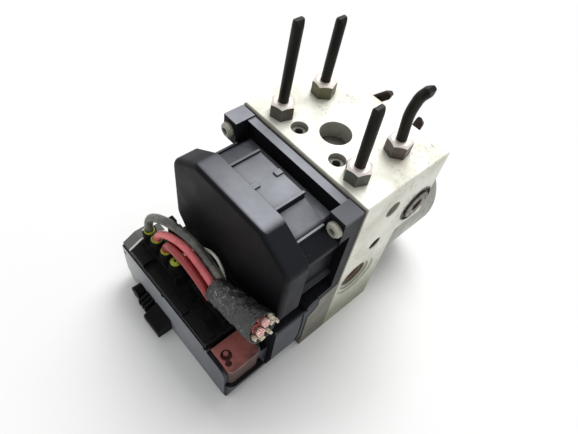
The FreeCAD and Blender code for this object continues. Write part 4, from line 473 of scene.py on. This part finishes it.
def can_finish(c, s):
    """Passivated drawn steel with runs of stain and rust spots."""
    f = Finish("Motor can steel", metallic=0.7)
    edge = f.rounded(s.edge)
    stain = f.span(f.noise(0.014, 5.0, 0.65, stretch=(1, 1, 0.5)), 0.42, 0.66)
    base = f.mixed(f.times(stain, 0.6), c.can, toned(c.can, 0.6))
    spots = f.times(f.specks(0.0045, 0.3, 2.0), f.span(f.noise(0.02, 3.0, shift=6.0), 0.5, 0.62))
    base = f.mixed(f.times(spots, 0.7), base, c.rust)
    # Painted shade in the corners.
    base = f.mixed(f.times(f.corners(0.008), 0.5), base, c.grime)
    base = f.mixed(f.times(edge, 0.4), base, c.bright)
    f.relief(f.noise(0.0006, 2.0, stretch=(1, 0.1, 1)), 0.00002)
    return f.done(base, f.level(stain, 0.3, 0.5))


def cover_finish(c, s):
    """Staked cover: a dull face with a rosy stain, painted shade in its sunk ring groove, its eye and its
    corners, and bright rims.
    """
    f = Finish("Cover metal", metallic=0.2, specular=0.2)
    edge = f.rounded(s.edge * 0.6)
    across, back, up = (f.axis(letter) for letter in "XYZ")
    patch = f.span(f.noise(0.005, 4.0, 0.65), 0.38, 0.62)
    base = f.mixed(patch, c.cover, toned(c.cover, 0.7))
    stain = f.times(f.span(back, *COVER_STAIN_Y), f.span(up, *COVER_STAIN_Z))
    base = f.mixed(f.times(stain, 0.5), base, COVER_STAIN)
    # Painted shade: the sunk ring groove and the eye turn near-black.
    dish, rim, eye = (f.within(back, up, COVER_CENTRE, radius) for radius in COVER_RINGS)
    deep = f.any_of(f.math("SUBTRACT", rim, dish), eye)
    deep = f.times(deep, f.span(f.free_math("ABSOLUTE", across, 0.0), *COVER_SUNK_X))
    base = f.mixed(f.times(deep, 0.94), base, toned(c.hole_shade, 0.16))
    # Painted shade in the corners.
    base = f.mixed(f.times(f.corners(0.0015), 0.8), base, toned(c.grime, 0.3))
    base = f.mixed(f.times(edge, 0.5), base, c.block)
    f.relief(patch, 0.00008)
    return f.done(base, f.level(patch, 0.35, 0.6))


def rust_finish(c, s):
    """Rusty steel of the pump plugs, with painted shade in their sockets."""
    f = Finish("Rusty steel", metallic=0.3)
    f.rounded(s.edge * 0.6)
    patch = f.span(f.noise(0.003, 5.0, 0.7), 0.35, 0.65)
    base = f.mixed(patch, c.rust, toned(c.grime, 1.5))
    # Painted shade in the sockets.
    base = f.mixed(f.times(f.corners(0.003), 0.6), base, toned(c.grime, 0.3))
    f.relief(f.noise(0.0008, 4.0), 0.0001)
    return f.done(base, f.level(patch, 0.45, 0.75))


def unit_finish(c, s):
    """Moulded plastic: a painted highlight where it lies open to the light, painted light on its low right
    sides and edges, painted black shade in its recesses, on the cap's front and over the latch, and a painted
    reflection on the trough's front wall.
    """
    f = Finish("Unit plastic", specular=0.06)
    edge = f.rounded(s.edge)
    across, back, up = (f.axis(letter) for letter in "XYZ")
    facing_x, facing_y, facing_z = (f.facing(letter) for letter in "XYZ")
    film = f.span(f.noise(0.016, 4.0, 0.6, shift=2.0), 0.3, 0.7)
    # Painted highlight: the deck's up-facing faces turn pale, less so where the left below the flange lies
    # shaded.
    level_top = f.times(f.span(facing_z, 0.86, 1.0), f.span(up, *UNIT_DECK_Z))
    shaded_left = f.times(f.span(across, *UNIT_SHADED_X), f.span(up, *UNIT_BELOW_FLANGE_Z))
    pale = f.times(f.times(level_top, f.level(film, 0.72, 1.0)), f.level(shaded_left, 1.0, 0.25))
    base = f.mixed(pale, c.unit, c.unit_top_highlight)
    # A dimmer painted highlight on the right ear's top.
    right_ear = f.times(f.span(across, *RIGHT_EAR_X), f.span(up, *EAR_TOP_Z))
    base = f.mixed(f.times(right_ear, 0.9), base, toned(c.unit_top_highlight, 0.33))
    # Painted light: the low right sides turn lighter.
    low_side = f.times(f.span(facing_x, 0.4, 0.8), f.span(up, *UNIT_LOW_SIDE_Z))
    base = f.mixed(f.times(low_side, 0.55), base, c.unit_painted_light)
    # Painted shade on the cap's front.
    front = f.times(f.span(facing_y, -0.45, -0.85), f.span(up, *CAP_FRONT_Z))
    base = f.mixed(f.times(front, 0.9), base, UNIT_SHADE_BLACK)
    # Painted shade in the recesses.
    base = f.mixed(f.times(f.corners(0.005), 0.9), base, UNIT_SHADE_BLACK)
    # Painted reflection: the trough's glossy front wall turns grey, palest at its left end.
    wall = f.times(f.span(back, *TROUGH_WALL_Y), f.span(facing_y, -0.5, -0.9))
    wall_reflection = f.mixed(f.span(across, *WALL_LEFT_X), WALL_REFLECTION_LEFT, WALL_REFLECTION_MIDDLE)
    wall_reflection = f.mixed(f.span(across, *WALL_RIGHT_X), wall_reflection, WALL_REFLECTION_RIGHT)
    base = f.mixed(wall, base, wall_reflection)
    # Painted shade over the latch below the trough wall.
    base = f.mixed(f.span(back, *LATCH_Y), base, UNIT_SHADE_BLACK)
    crumbs = f.times(f.specks(0.0035, 0.1, 1.5), f.span(f.noise(0.02, 2.0, shift=3.0), 0.56, 0.64))
    crumbs = f.times(crumbs, f.span(facing_z, 0.2, 0.9))
    base = f.mixed(f.times(crumbs, 0.45), base, c.block_shade)
    # Painted highlight along the edges.
    base = f.mixed(f.times(edge, 0.35), base, c.unit_painted_light)
    f.relief(f.noise(0.00035, 2.0), 0.000012)
    return f.done(base, f.level(film, 0.36, 0.5))


def screw_finish(c, s):
    """Grey flake coating, with painted shade in the screws' sockets."""
    f = Finish("Screw coating", metallic=0.15)
    f.rounded(s.edge * 0.7)
    patch = f.span(f.noise(0.002, 4.0, 0.6), 0.4, 0.65)
    base = f.mixed(f.times(patch, 0.5), c.screw, toned(c.screw, 0.6))
    # Painted shade in the sockets.
    base = f.mixed(f.corners(0.0025), base, toned(c.grime, 0.2))
    f.relief(patch, 0.00004)
    return f.done(base, f.level(patch, 0.4, 0.6))


def plug_finish(c, s):
    """Black plug plastic, greasy and sprinkled with grit, with a painted highlight on the ramp at its left
    end and a brighter one along its rim.
    """
    f = Finish("Plug plastic", specular=0.07)
    edge = f.rounded(s.edge * 0.8)
    across = f.axis("X")
    grease = f.span(f.noise(0.006, 4.0, 0.65), 0.4, 0.65)
    base = f.mixed(f.times(grease, 0.35), c.plug, c.soot)
    grit = f.times(f.specks(0.0024, 0.16, 0.7), f.span(f.noise(0.008, 3.0, shift=2.0), 0.52, 0.64))
    base = f.mixed(f.times(grit, 0.5), base, c.cover)
    # Painted highlight: the up-sloping ramp at the left end turns pale, with a brighter painted glint along
    # its rim.
    ramp = f.times(f.span(across, *PLUG_RAMP_X), f.span(f.facing("Z"), 0.3, 0.7))
    base = f.mixed(f.times(ramp, 0.9), base, PLUG_RAMP_HIGHLIGHT)
    base = f.mixed(f.times(ramp, f.span(across, *PLUG_RIM_X)), base, c.white_wire)
    # Painted highlight along the edges.
    base = f.mixed(f.times(edge, 0.3), base, c.unit_painted_light)
    f.relief(f.noise(0.0012, 3.0), 0.00006)
    return f.done(base, f.level(grease, 0.4, 0.65))


def slide_finish(c, s):
    """Faded red plastic, clean on top and black with grime towards its outer end."""
    f = Finish("Slide plastic")
    edge = f.rounded(s.edge)
    wear = f.noise(0.007, 4.0, 0.6, shift=1.0)
    outer = f.times(f.span(f.axis("X"), *SLIDE_OUTER_X), 0.7)
    outer = f.math("ADD", outer, f.span(f.axis("Z"), *SLIDE_LOW_Z))
    sooty = f.span(f.math("ADD", f.times(outer, 0.75), f.times(wear, 0.5)), 0.42, 0.75)
    base = f.mixed(f.span(wear, 0.35, 0.65), c.slide, toned(c.slide, 0.75))
    base = f.mixed(f.times(sooty, 0.9), base, c.soot)
    # Painted shade in the corners.
    base = f.mixed(f.times(f.corners(0.004), 0.7), base, toned(c.slide, 0.3))
    # Painted highlight along the edges.
    base = f.mixed(f.times(edge, 0.2), base, c.unit_painted_light)
    f.relief(wear, 0.00008)
    return f.done(base, f.level(sooty, 0.42, 0.6))


def rubber_finish(name, tint, c, s, gloss=0.5):
    """One dull colour in two shades, with painted shade in its corners."""
    f = Finish(name)
    f.rounded(s.edge * 0.5)
    patch = f.span(f.noise(0.002, 4.0, 0.6), 0.35, 0.65)
    base = f.mixed(patch, tint, toned(tint, 0.55))
    # Painted shade in the corners.
    base = f.mixed(f.times(f.corners(0.002), 0.6), base, c.soot)
    f.relief(patch, 0.00004)
    return f.done(base, f.level(patch, gloss * 0.8, gloss * 1.2))


def wire_finish(name, tint, c, dusty=0.3):
    """Extruded insulation with dusty patches and a slight waviness."""
    f = Finish(name)
    patch = f.span(f.noise(0.005, 4.0, 0.6), 0.45, 0.7)
    base = f.mixed(f.times(patch, dusty), tint, c.block_shade)
    shade = f.span(f.noise(0.009, 3.0, shift=3.0), 0.5, 0.68)
    base = f.mixed(f.times(shade, 0.35), base, toned(tint, 0.4))
    f.relief(f.noise(0.004, 3.0), 0.00012)
    return f.done(base, f.level(patch, 0.24, 0.45))


def tape_finish(c):
    """Grey-black tape with creases, stuck grit, pale glints at its mouth and wrinkles with painted highlights
    on their ridges at its cut end.
    """
    f = Finish("Harness tape")
    across, up = f.axis("X"), f.axis("Z")
    crease = f.noise(0.0028, 5.0, 0.62, stretch=(0.35, 1, 1), warp=0.8)
    base = f.mixed(f.span(crease, 0.4, 0.65), c.tape, toned(c.tape, 0.45))
    grit = f.times(f.specks(0.0019, 0.2, 0.4), f.span(f.noise(0.006, 3.0, shift=8.0), 0.53, 0.63))
    base = f.mixed(f.times(grit, 0.8), base, c.block_shade)
    near_mouth = f.times(f.span(across, *TAPE_MOUTH_X), f.span(up, *TAPE_UPPER_Z))
    glint = f.times(f.scratches(0.0034, 0.016, 2.0), near_mouth)
    base = f.mixed(f.times(glint, 0.75), base, c.white_wire)
    # Painted highlight: the wrinkles' ridges towards the cut end turn lighter.
    wrinkle = f.noise(0.0022, 2.0, 0.5, stretch=(1.6, 0.3, 0.3), shift=5.0)
    fold = f.times(f.span(wrinkle, 0.48, 0.62), f.span(across, *TAPE_PULLED_X))
    base = f.mixed(f.times(fold, 0.35), base, toned(c.tape, 2.6))
    f.relief(crease, 0.0005)
    f.relief(fold, 0.0004)
    return f.done(base, f.level(f.span(crease, 0.35, 0.65), 0.26, 0.5))


def metal_finish(name, tint, s, rough=0.35, grain=0.004, metallic=0.9):
    """Bare metal in two shades."""
    f = Finish(name, metallic=metallic)
    f.rounded(s.edge * 0.6)
    patch = f.span(f.noise(grain, 4.0, 0.6), 0.38, 0.66)
    base = f.mixed(patch, tint, toned(tint, 0.72))
    f.relief(f.noise(grain * 0.2, 3.0), 0.00002)
    return f.done(base, f.level(patch, rough * 0.8, rough * 1.3))


def dress(names, material):
    """Puts the material on every slot of these nodes."""
    for name in names:
        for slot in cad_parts[name].material_slots:
            slot.material = material


def nodes_with(*parts):
    """The node names that hold any of these words."""
    return [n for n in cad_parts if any(p in n for p in parts)]


def settings(context):
    """The brake unit's colours and sizes in this scene."""
    return context.scene.brake_unit_colours, context.scene.brake_unit_sizes


def piece(name, verts, faces, material):
    """A smooth-shaded mesh object from its points and faces, in metres."""
    mesh = bpy.data.meshes.new(name)
    mesh.from_pydata([tuple(v) for v in verts], [], faces)
    mesh.validate()
    mesh.update()
    for face in mesh.polygons:
        face.use_smooth = True
    mesh.materials.append(material)
    made = bpy.data.objects.new(name, mesh)
    bpy.context.collection.objects.link(made)
    return made


def axes_along(direction):
    """Two unit vectors square to direction and to each other."""
    side = direction.cross(Vector((0, 0, 1)))
    if side.length < 0.01:
        side = direction.cross(Vector((0, 1, 0)))
    side.normalize()
    return side, direction.cross(side).normalized()


def closed_rings(rings):
    """Points and faces of a skin over rings of equal count, closed at both ends."""
    count = len(rings[0])
    verts = [p for ring in rings for p in ring]
    faces = []
    for i in range(len(rings) - 1):
        for j in range(count):
            k = (j + 1) % count
            faces.append((i * count + j, i * count + k, (i + 1) * count + k, (i + 1) * count + j))
    faces.append(tuple(range(count - 1, -1, -1)))
    faces.append(tuple(range(len(verts) - count, len(verts))))
    return verts, faces


def free_wire(name, node, route, radius, material):
    """One free wire as a smooth curve through its route's control points."""
    curve = bpy.data.curves.new(name, "CURVE")
    curve.dimensions = "3D"
    curve.bevel_depth = radius
    curve.bevel_resolution = 8
    curve.resolution_u = 24
    curve.use_fill_caps = True
    spline = curve.splines.new("NURBS")
    spline.points.add(len(route) - 1)
    for point, place in zip(spline.points, route):
        point.co = (*(x * MM for x in place), 1.0)
    spline.order_u = 3
    spline.use_endpoint_u = True
    curve.materials.append(material)
    wire = bpy.data.objects.new(name, curve)
    bpy.context.collection.objects.link(wire)
    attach(wire, "plug")
    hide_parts(node)
    return wire


# Taped stretch: rings along it and points around each, and its turned-in lips as shares of their rings
WRAP_ROWS = 110
WRAP_COLUMNS = 84
END_LIP = 0.93
MOUTH_LIP = 0.86


def tape_roll(radius, mouth):
    """Skin of the taped stretch: overlapping turns of tape, creased, narrower where the wires go in."""
    along = WRAP_END - WRAP_START
    length = along.length
    axis = along.normalized()
    side, up = axes_along(axis)
    turn_pitch = 7.5 * MM
    tape_step = 0.35 * MM
    crease = 0.55 * MM
    sink = 3.0 * MM
    mouth_sink = 1.2 * MM
    rows, columns = WRAP_ROWS, WRAP_COLUMNS
    rings = []
    for i in range(rows + 1):
        t = i / rows
        ring = []
        for j in range(columns):
            angle = 2 * math.pi * j / columns
            lap = (t * length / turn_pitch + j / columns) % 1.0
            base = mouth + (radius - mouth) * t
            spot = Vector((t * 5.5, math.cos(angle) * 1.3, math.sin(angle) * 1.3))
            fold = noise.noise(spot * 1.6) + 0.6 * noise.noise(spot * 4.1) + 0.3 * noise.noise(spot * 9.0)
            r = min(base - tape_step * (1 - lap) + crease * (fold - 0.5), base)
            place = WRAP_START + axis * (length * t)
            if i == 0:
                place -= axis * (0.4 * MM * noise.noise(spot * 3.0))
            ring.append(place + (side * math.cos(angle) + up * math.sin(angle)) * r)
        rings.append(ring)
    lip = [WRAP_END + (p - WRAP_END) * END_LIP for p in rings[-1]]
    floor = [p - axis * sink for p in lip]
    mouth_lip = [WRAP_START + (p - WRAP_START) * MOUTH_LIP for p in rings[0]]
    mouth_floor = [p + axis * mouth_sink for p in mouth_lip]
    return closed_rings([mouth_floor, mouth_lip] + rings + [lip, floor])


# Cut ends in the tape's far end, in millimetres: towards the front, down, radius, and how far it stands out
CUT_ENDS = ((-1.0, -5.2, 2.5, 3.5), (2.8, -1.1, 2.7, 3.0), (-4.9, -0.9, 1.5, 4.2), (1.7, 5.8, 1.7, 3.4),
             (5.7, 3.0, 1.3, 2.6), (-5.7, -4.8, 1.1, 4.6), (-8.1, 0.3, 1.1, 5.2), (-2.9, 4.8, 1.1, 4.8))

# In millimetres: least radius of a thick wire, how deep an end roots in the tape, and how far it is cut back
THICK_CUT = 2.0
CUT_ROOT = 2.5
CUT_BACK = 0.5

# Shares of a cut end: strands within the sleeve's radius, the sleeve's bore, how far thin ends reach, and the
# part of a thick and of a thin end that its sleeve covers
STRAND_SHARE = 0.86
SLEEVE_BORE = 0.9
THIN_REACH = 0.72
THICK_CUFF = 0.3
THIN_CUFF = 0.75
THIN_STRANDS = 7
STRAND_SEED = 4


def cut_places():
    """Foot, tip and radius of each cut wire on the tape's far end, with two axes square to it."""
    axis = (WRAP_END - WRAP_START).normalized()
    below = Vector((0, 1, 0)).cross(axis).normalized()
    ahead = below.cross(axis).normalized()
    for front, down, r, reach in CUT_ENDS:
        place = WRAP_END + (ahead * front + below * down) * MM
        yield place - axis * (CUT_ROOT * MM), place + axis * ((reach - CUT_BACK) * MM), r * MM, ahead, below


def tube_ring(centre, first, second, radius, count):
    """Points of a circle in the plane of two axes."""
    angles = [2 * math.pi * k / count for k in range(count)]
    return [centre + (first * math.cos(a) + second * math.sin(a)) * radius for a in angles]


def sleeve(foot, tip, outer, inner, first, second, count=24):
    """A short tube with a wall, open at its tip."""
    drop = (foot - tip) * 0.9
    rings = [tube_ring(foot, first, second, outer, count), tube_ring(tip, first, second, outer, count),
             tube_ring(tip, first, second, inner, count), tube_ring(tip + drop, first, second, inner, count)]
    return closed_rings(rings)


def joined(name, parts, material):
    """One mesh object from several skins."""
    verts = []
    faces = []
    for some_verts, some_faces in parts:
        start = len(verts)
        verts += some_verts
        faces += [tuple(start + k for k in face) for face in some_faces]
    return piece(name, verts, faces, material)


def strand_bundle(foot, tip, radius, first, second, count, rng):
    """Round strands packed in rings, cut at slightly uneven heights."""
    thick = radius / (2 * math.sqrt(count / 3.2))
    spots = [(0.0, 0.0)]
    ring = 1
    while len(spots) < count:
        here = 6 * ring
        spots += [(ring * 2.05 * thick, 2 * math.pi * k / here) for k in range(here)]
        ring += 1
    axis = (tip - foot).normalized()
    parts = []
    for away, angle in spots[:count]:
        centre = foot + (first * math.cos(angle) + second * math.sin(angle)) * away
        top = centre + (tip - foot) + axis * (rng.uniform(-0.25, 0.45) * MM)
        dome = top + axis * (thick * 0.3)
        rings = [tube_ring(centre, first, second, thick, 8), tube_ring(top, first, second, thick, 8),
                 tube_ring(dome, first, second, thick * 0.55, 8)]
        parts.append(closed_rings(rings))
    return parts


class BRAKEUNIT_OT_block(bpy.types.Operator):
    """Finish the valve block, its covers and plugs"""
    bl_idname = "brakeunit.block"
    bl_label = "Valve Block"

    def execute(self, context):
        c, s = settings(context)
        dress(["valve_block"], block_finish(c, s))
        dress(["accumulator_covers"], cover_finish(c, s))
        dress(["pump_plugs"], rust_finish(c, s))
        return {"FINISHED"}


class BRAKEUNIT_OT_pipes(bpy.types.Operator):
    """Finish the tube nuts and the cut brake pipes"""
    bl_idname = "brakeunit.pipes"
    bl_label = "Pipes and Nuts"

    def execute(self, context):
        c, s = settings(context)
        dress(nodes_with("tube_nuts", "motor_screws"), nut_finish(c, s))
        dress(nodes_with("brake_pipe", "back_pipe"), pipe_finish(c))
        return {"FINISHED"}


class BRAKEUNIT_OT_motor(bpy.types.Operator):
    """Finish the pump motor and everything that turns in it"""
    bl_idname = "brakeunit.motor"
    bl_label = "Pump Motor"

    def execute(self, context):
        c, s = settings(context)
        dress(["motor_can"], can_finish(c, s))
        bright = metal_finish("Ground steel", c.bright, s)
        dress(["motor_shaft", "front_bearing", "rear_bearing", "eccentric_ring"], bright)
        dress(["armature_core"], metal_finish("Core steel", CORE_STEEL, s, 0.5))
        dress(["armature_windings", "commutator"], metal_finish("Winding copper", WINDING_COPPER, s))
        dress(["magnets"], rubber_finish("Magnet ferrite", MAGNET_FERRITE, c, s, 0.6))
        dress(["brushes"], rubber_finish("Brush carbon", BRUSH_CARBON, c, s, 0.6))
        dress(["brush_plate"], rubber_finish("Brush plate plastic", BRUSH_PLASTIC, c, s, 0.5))
        return {"FINISHED"}


class BRAKEUNIT_OT_hydraulics(bpy.types.Operator):
    """Finish the valves, pistons and springs inside the block"""
    bl_idname = "brakeunit.hydraulics"
    bl_label = "Inner Hydraulics"

    def execute(self, context):
        c, s = settings(context)
        bright = metal_finish("Valve steel", c.bright, s)
        dress(nodes_with("valve_bodies", "plunger", "pump_sleeves", "pump_piston"), bright)
        dress(nodes_with("spring"), metal_finish("Spring wire", SPRING_STEEL, s, 0.4))
        dress(nodes_with("accumulator_piston"), metal_finish("Piston aluminium", c.block, s, 0.3))
        return {"FINISHED"}


class BRAKEUNIT_OT_control_unit(bpy.types.Operator):
    """Finish the control unit, its screws, board and coils"""
    bl_idname = "brakeunit.control_unit"
    bl_label = "Control Unit"

    def execute(self, context):
        c, s = settings(context)
        dress(["ecu_housing", "ecu_cover"], unit_finish(c, s))
        dress(["ecu_screws"], screw_finish(c, s))
        dress(["ecu_gasket"], rubber_finish("Gasket rubber", c.plug, c, s))
        dress(["circuit_board"], rubber_finish("Board lacquer", BOARD_LACQUER, c, s, 0.35))
        dress(["connector_pins"], metal_finish("Pin tin", c.tinned, s))
        dress(["valve_coils"], metal_finish("Coil copper", COIL_COPPER, s, 0.3))
        dress(["coil_bobbins"], rubber_finish("Bobbin plastic", BOBBIN_PLASTIC, c, s, 0.5))
        return {"FINISHED"}


class BRAKEUNIT_OT_plug(bpy.types.Operator):
    """Finish the wire plug, its seals and the lock slide"""
    bl_idname = "brakeunit.plug"
    bl_label = "Wire Plug"

    def execute(self, context):
        c, s = settings(context)
        dress(["plug_body"], plug_finish(c, s))
        dress(["lock_slide"], slide_finish(c, s))
        dress(["wire_seals"], rubber_finish("Seal silicone", c.seal, c, s, 0.45))
        return {"FINISHED"}


class BRAKEUNIT_OT_wires(bpy.types.Operator):
    """Lay the four free wires from their seals to the tape"""
    bl_idname = "brakeunit.wires"
    bl_label = "Free Wires"

    def execute(self, context):
        c, s = settings(context)
        red = wire_finish("Red insulation", c.red_wire, c, 0.08)
        # Painted shade: a darker copy of the red for the lower wire.
        shaded_red_tint = tuple(x * share for x, share in zip(c.red_wire, SHADED_RED_SHARE))
        red_in_shade = wire_finish("Red insulation, painted shade", shaded_red_tint, c, 0.04)
        dark = wire_finish("Dark insulation", c.dark_wire, c, 0.25)
        white = wire_finish("White insulation", c.white_wire, c, 0.3)
        free_wire("red_wire_upper", "wire_red_a", RED_WIRE_A_ROUTE, s.red_wire,
                  red)
        free_wire("red_wire_lower", "wire_red_b", RED_WIRE_B_ROUTE, s.red_wire,
                  red_in_shade)
        free_wire("dark_wire", "wire_dark", DARK_WIRE_ROUTE, s.dark_wire,
                  dark)
        free_wire("white_wire", "wire_white", WHITE_WIRE_ROUTE, s.white_wire,
                  white)
        return {"FINISHED"}


class BRAKEUNIT_OT_harness_end(bpy.types.Operator):
    """Wrap the harness in tape and cut its wires off"""
    bl_idname = "brakeunit.harness_end"
    bl_label = "Taped Harness End"

    def execute(self, context):
        c, s = settings(context)
        roll = piece("tape_roll", *tape_roll(s.wrap, s.wrap_mouth), tape_finish(c))
        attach(roll, "plug")
        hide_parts("tape_wrap")
        rng = random.Random(STRAND_SEED)
        thick_strands = []
        thin_strands = []
        thick_sleeves = []
        thin_sleeves = []
        for foot, tip, r, first, second in cut_places():
            thick = r > THICK_CUT * MM
            count = s.strands if thick else THIN_STRANDS
            end = tip if thick else foot + (tip - foot) * THIN_REACH
            cuff = foot + (end - foot) * (THICK_CUFF if thick else THIN_CUFF)
            strands = strand_bundle(foot, end, r * STRAND_SHARE, first, second, count, rng)
            (thick_strands if thick else thin_strands).extend(strands)
            cut_sleeve = sleeve(foot, cuff, r, r * SLEEVE_BORE, first, second)
            (thick_sleeves if thick else thin_sleeves).append(cut_sleeve)
        copper = metal_finish("Cut copper", c.copper, s, 0.3, 0.0006, 0.75)
        tinned = metal_finish("Cut tinned wire", c.tinned, s, 0.3, 0.0006, 0.6)
        pieces = [joined("copper_strands", thick_strands, copper),
                  joined("tinned_strands", thin_strands, tinned),
                  joined("thick_sleeves", thick_sleeves, wire_finish("Cut red insulation", c.red_wire, c)),
                  joined("thin_sleeves", thin_sleeves, wire_finish("Cut pale insulation", c.tinned, c))]
        for made, slot in zip(pieces, ("cut_copper", "cut_copper", "red_wire", "white_wire")):
            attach(made, "plug")
            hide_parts("wire_ends")
        return {"FINISHED"}


# Stage, in metres and watts
FLOOR_REACH = 4.0
FLOOR_TINT = (0.86, 0.87, 0.86)
FLOOR_FADE = (0.095, 0.23)
WORLD_LIGHT = 0.62
KEY_PLACE = (-0.2, 0.5, 0.9)
KEY_TARGET = (0.0, 0.0, 0.05)
KEY_SIDE = 0.6
KEY_POWER = 8.8
CAMERA_PLACE = (0.10867, -0.13281, 0.29678)
CAMERA_DEGREES = (36.825, -6.642, 48.374)
CAMERA_LENS = 30.445
CAMERA_SHIFT = 0.0035


def stage_material(name, base):
    """Pale matt floor that keeps the shadow and fades to white away from the object."""
    f = Finish(name, roughness=0.85, specular=0.1)
    glow = f.node("ShaderNodeEmission")
    away = f.node("ShaderNodeVectorMath", operation="LENGTH")
    f.feed(away.inputs[0], f.place)
    far = f.span(away.outputs["Value"], *FLOOR_FADE)
    mix = f.node("ShaderNodeMixShader")
    f.feed(mix.inputs["Fac"], far)
    f.feed(mix.inputs[1], f.shader.outputs["BSDF"])
    f.feed(mix.inputs[2], glow.outputs["Emission"])
    f.feed(f.tree.nodes["Material Output"].inputs["Surface"], mix.outputs["Shader"])
    cloud = f.span(f.noise(0.3, 2.0), 0.3, 0.7)
    return f.done(f.mixed(cloud, base, toned(base, 0.97)))


def white_world():
    """White where the camera and the reflections look, and a plain level of light elsewhere."""
    world = bpy.data.worlds.new("Studio")
    world.use_nodes = True
    tree = world.node_tree
    back = tree.nodes["Background"]
    back.inputs["Color"].default_value = (1, 1, 1, 1)
    path = tree.nodes.new("ShaderNodeLightPath")
    seen = path.outputs["Is Camera Ray"]
    for name in ("Is Glossy Ray", "Is Transmission Ray"):
        most = tree.nodes.new("ShaderNodeMath")
        most.operation = "MAXIMUM"
        tree.links.new(seen, most.inputs[0])
        tree.links.new(path.outputs[name], most.inputs[1])
        seen = most.outputs[0]
    strength = tree.nodes.new("ShaderNodeMapRange")
    strength.inputs["To Min"].default_value = WORLD_LIGHT
    strength.inputs["To Max"].default_value = 1.0
    tree.links.new(seen, strength.inputs["Value"])
    tree.links.new(strength.outputs["Result"], back.inputs["Strength"])
    bpy.context.scene.world = world


def soft_box(name, place, target, side, power):
    """A square lamp that looks at its target."""
    light = bpy.data.lights.new(name, "AREA")
    light.shape = "SQUARE"
    light.size = side
    light.energy = power
    lamp = bpy.data.objects.new(name, light)
    lamp.location = place
    lamp.rotation_euler = (Vector(target) - Vector(place)).to_track_quat("-Z", "Y").to_euler()
    bpy.context.collection.objects.link(lamp)


def photo_camera():
    """The camera at the photo's viewing angle."""
    camera = bpy.data.cameras.new("Photo camera")
    camera.sensor_width = 36.0
    camera.lens = CAMERA_LENS
    camera.shift_x = CAMERA_SHIFT
    camera.clip_start = 0.01
    camera.clip_end = 20.0
    holder = bpy.data.objects.new("Photo camera", camera)
    holder.location = CAMERA_PLACE
    holder.rotation_euler = tuple(math.radians(a) for a in CAMERA_DEGREES)
    bpy.context.collection.objects.link(holder)
    bpy.context.scene.camera = holder


class BRAKEUNIT_OT_stage(bpy.types.Operator):
    """Set up the pale floor, the soft light and the camera"""
    bl_idname = "brakeunit.stage"
    bl_label = "Stage"

    def execute(self, context):
        corners = [(x * FLOOR_REACH, y * FLOOR_REACH, 0) for x, y in ((-1, -1), (1, -1), (1, 1), (-1, 1))]
        floor = piece("floor", corners, [(0, 1, 2, 3)], stage_material("Pale floor", FLOOR_TINT))
        floor.location.z = min(0.0, CAD_BOX[0].z)
        white_world()
        soft_box("Key light", KEY_PLACE, KEY_TARGET, KEY_SIDE, KEY_POWER)
        photo_camera()
        context.scene.view_settings.view_transform = "Standard"
        return {"FINISHED"}


OPERATORS = (BRAKEUNIT_OT_block, BRAKEUNIT_OT_pipes, BRAKEUNIT_OT_motor, BRAKEUNIT_OT_hydraulics,
             BRAKEUNIT_OT_control_unit, BRAKEUNIT_OT_plug, BRAKEUNIT_OT_wires, BRAKEUNIT_OT_harness_end,
             BRAKEUNIT_OT_stage)


class BRAKEUNIT_PT_panel(bpy.types.Panel):
    """The pieces of the brake unit and their settings"""
    bl_idname = "BRAKEUNIT_PT_panel"
    bl_label = "Brake Unit"
    bl_space_type = "VIEW_3D"
    bl_region_type = "UI"
    bl_category = "Brake Unit"

    def draw(self, context):
        for operator in OPERATORS:
            self.layout.operator(operator.bl_idname, text=operator.bl_label)
        for group in settings(context):
            for name in group.__annotations__:
                self.layout.prop(group, name)


CLASSES = (BrakeUnitColours, BrakeUnitSizes, *OPERATORS, BRAKEUNIT_PT_panel)


def register():
    for cls in CLASSES:
        bpy.utils.register_class(cls)
    bpy.types.Scene.brake_unit_colours = PointerProperty(type=BrakeUnitColours)
    bpy.types.Scene.brake_unit_sizes = PointerProperty(type=BrakeUnitSizes)


def unregister():
    del bpy.types.Scene.brake_unit_sizes
    del bpy.types.Scene.brake_unit_colours
    for cls in reversed(CLASSES):
        bpy.utils.unregister_class(cls)


def main():
    register()
    bpy.ops.brakeunit.block()
    bpy.ops.brakeunit.pipes()
    bpy.ops.brakeunit.motor()
    bpy.ops.brakeunit.hydraulics()
    bpy.ops.brakeunit.control_unit()
    bpy.ops.brakeunit.plug()
    bpy.ops.brakeunit.wires()
    bpy.ops.brakeunit.harness_end()
    bpy.ops.brakeunit.stage()


if __name__ == "__main__":
    main()
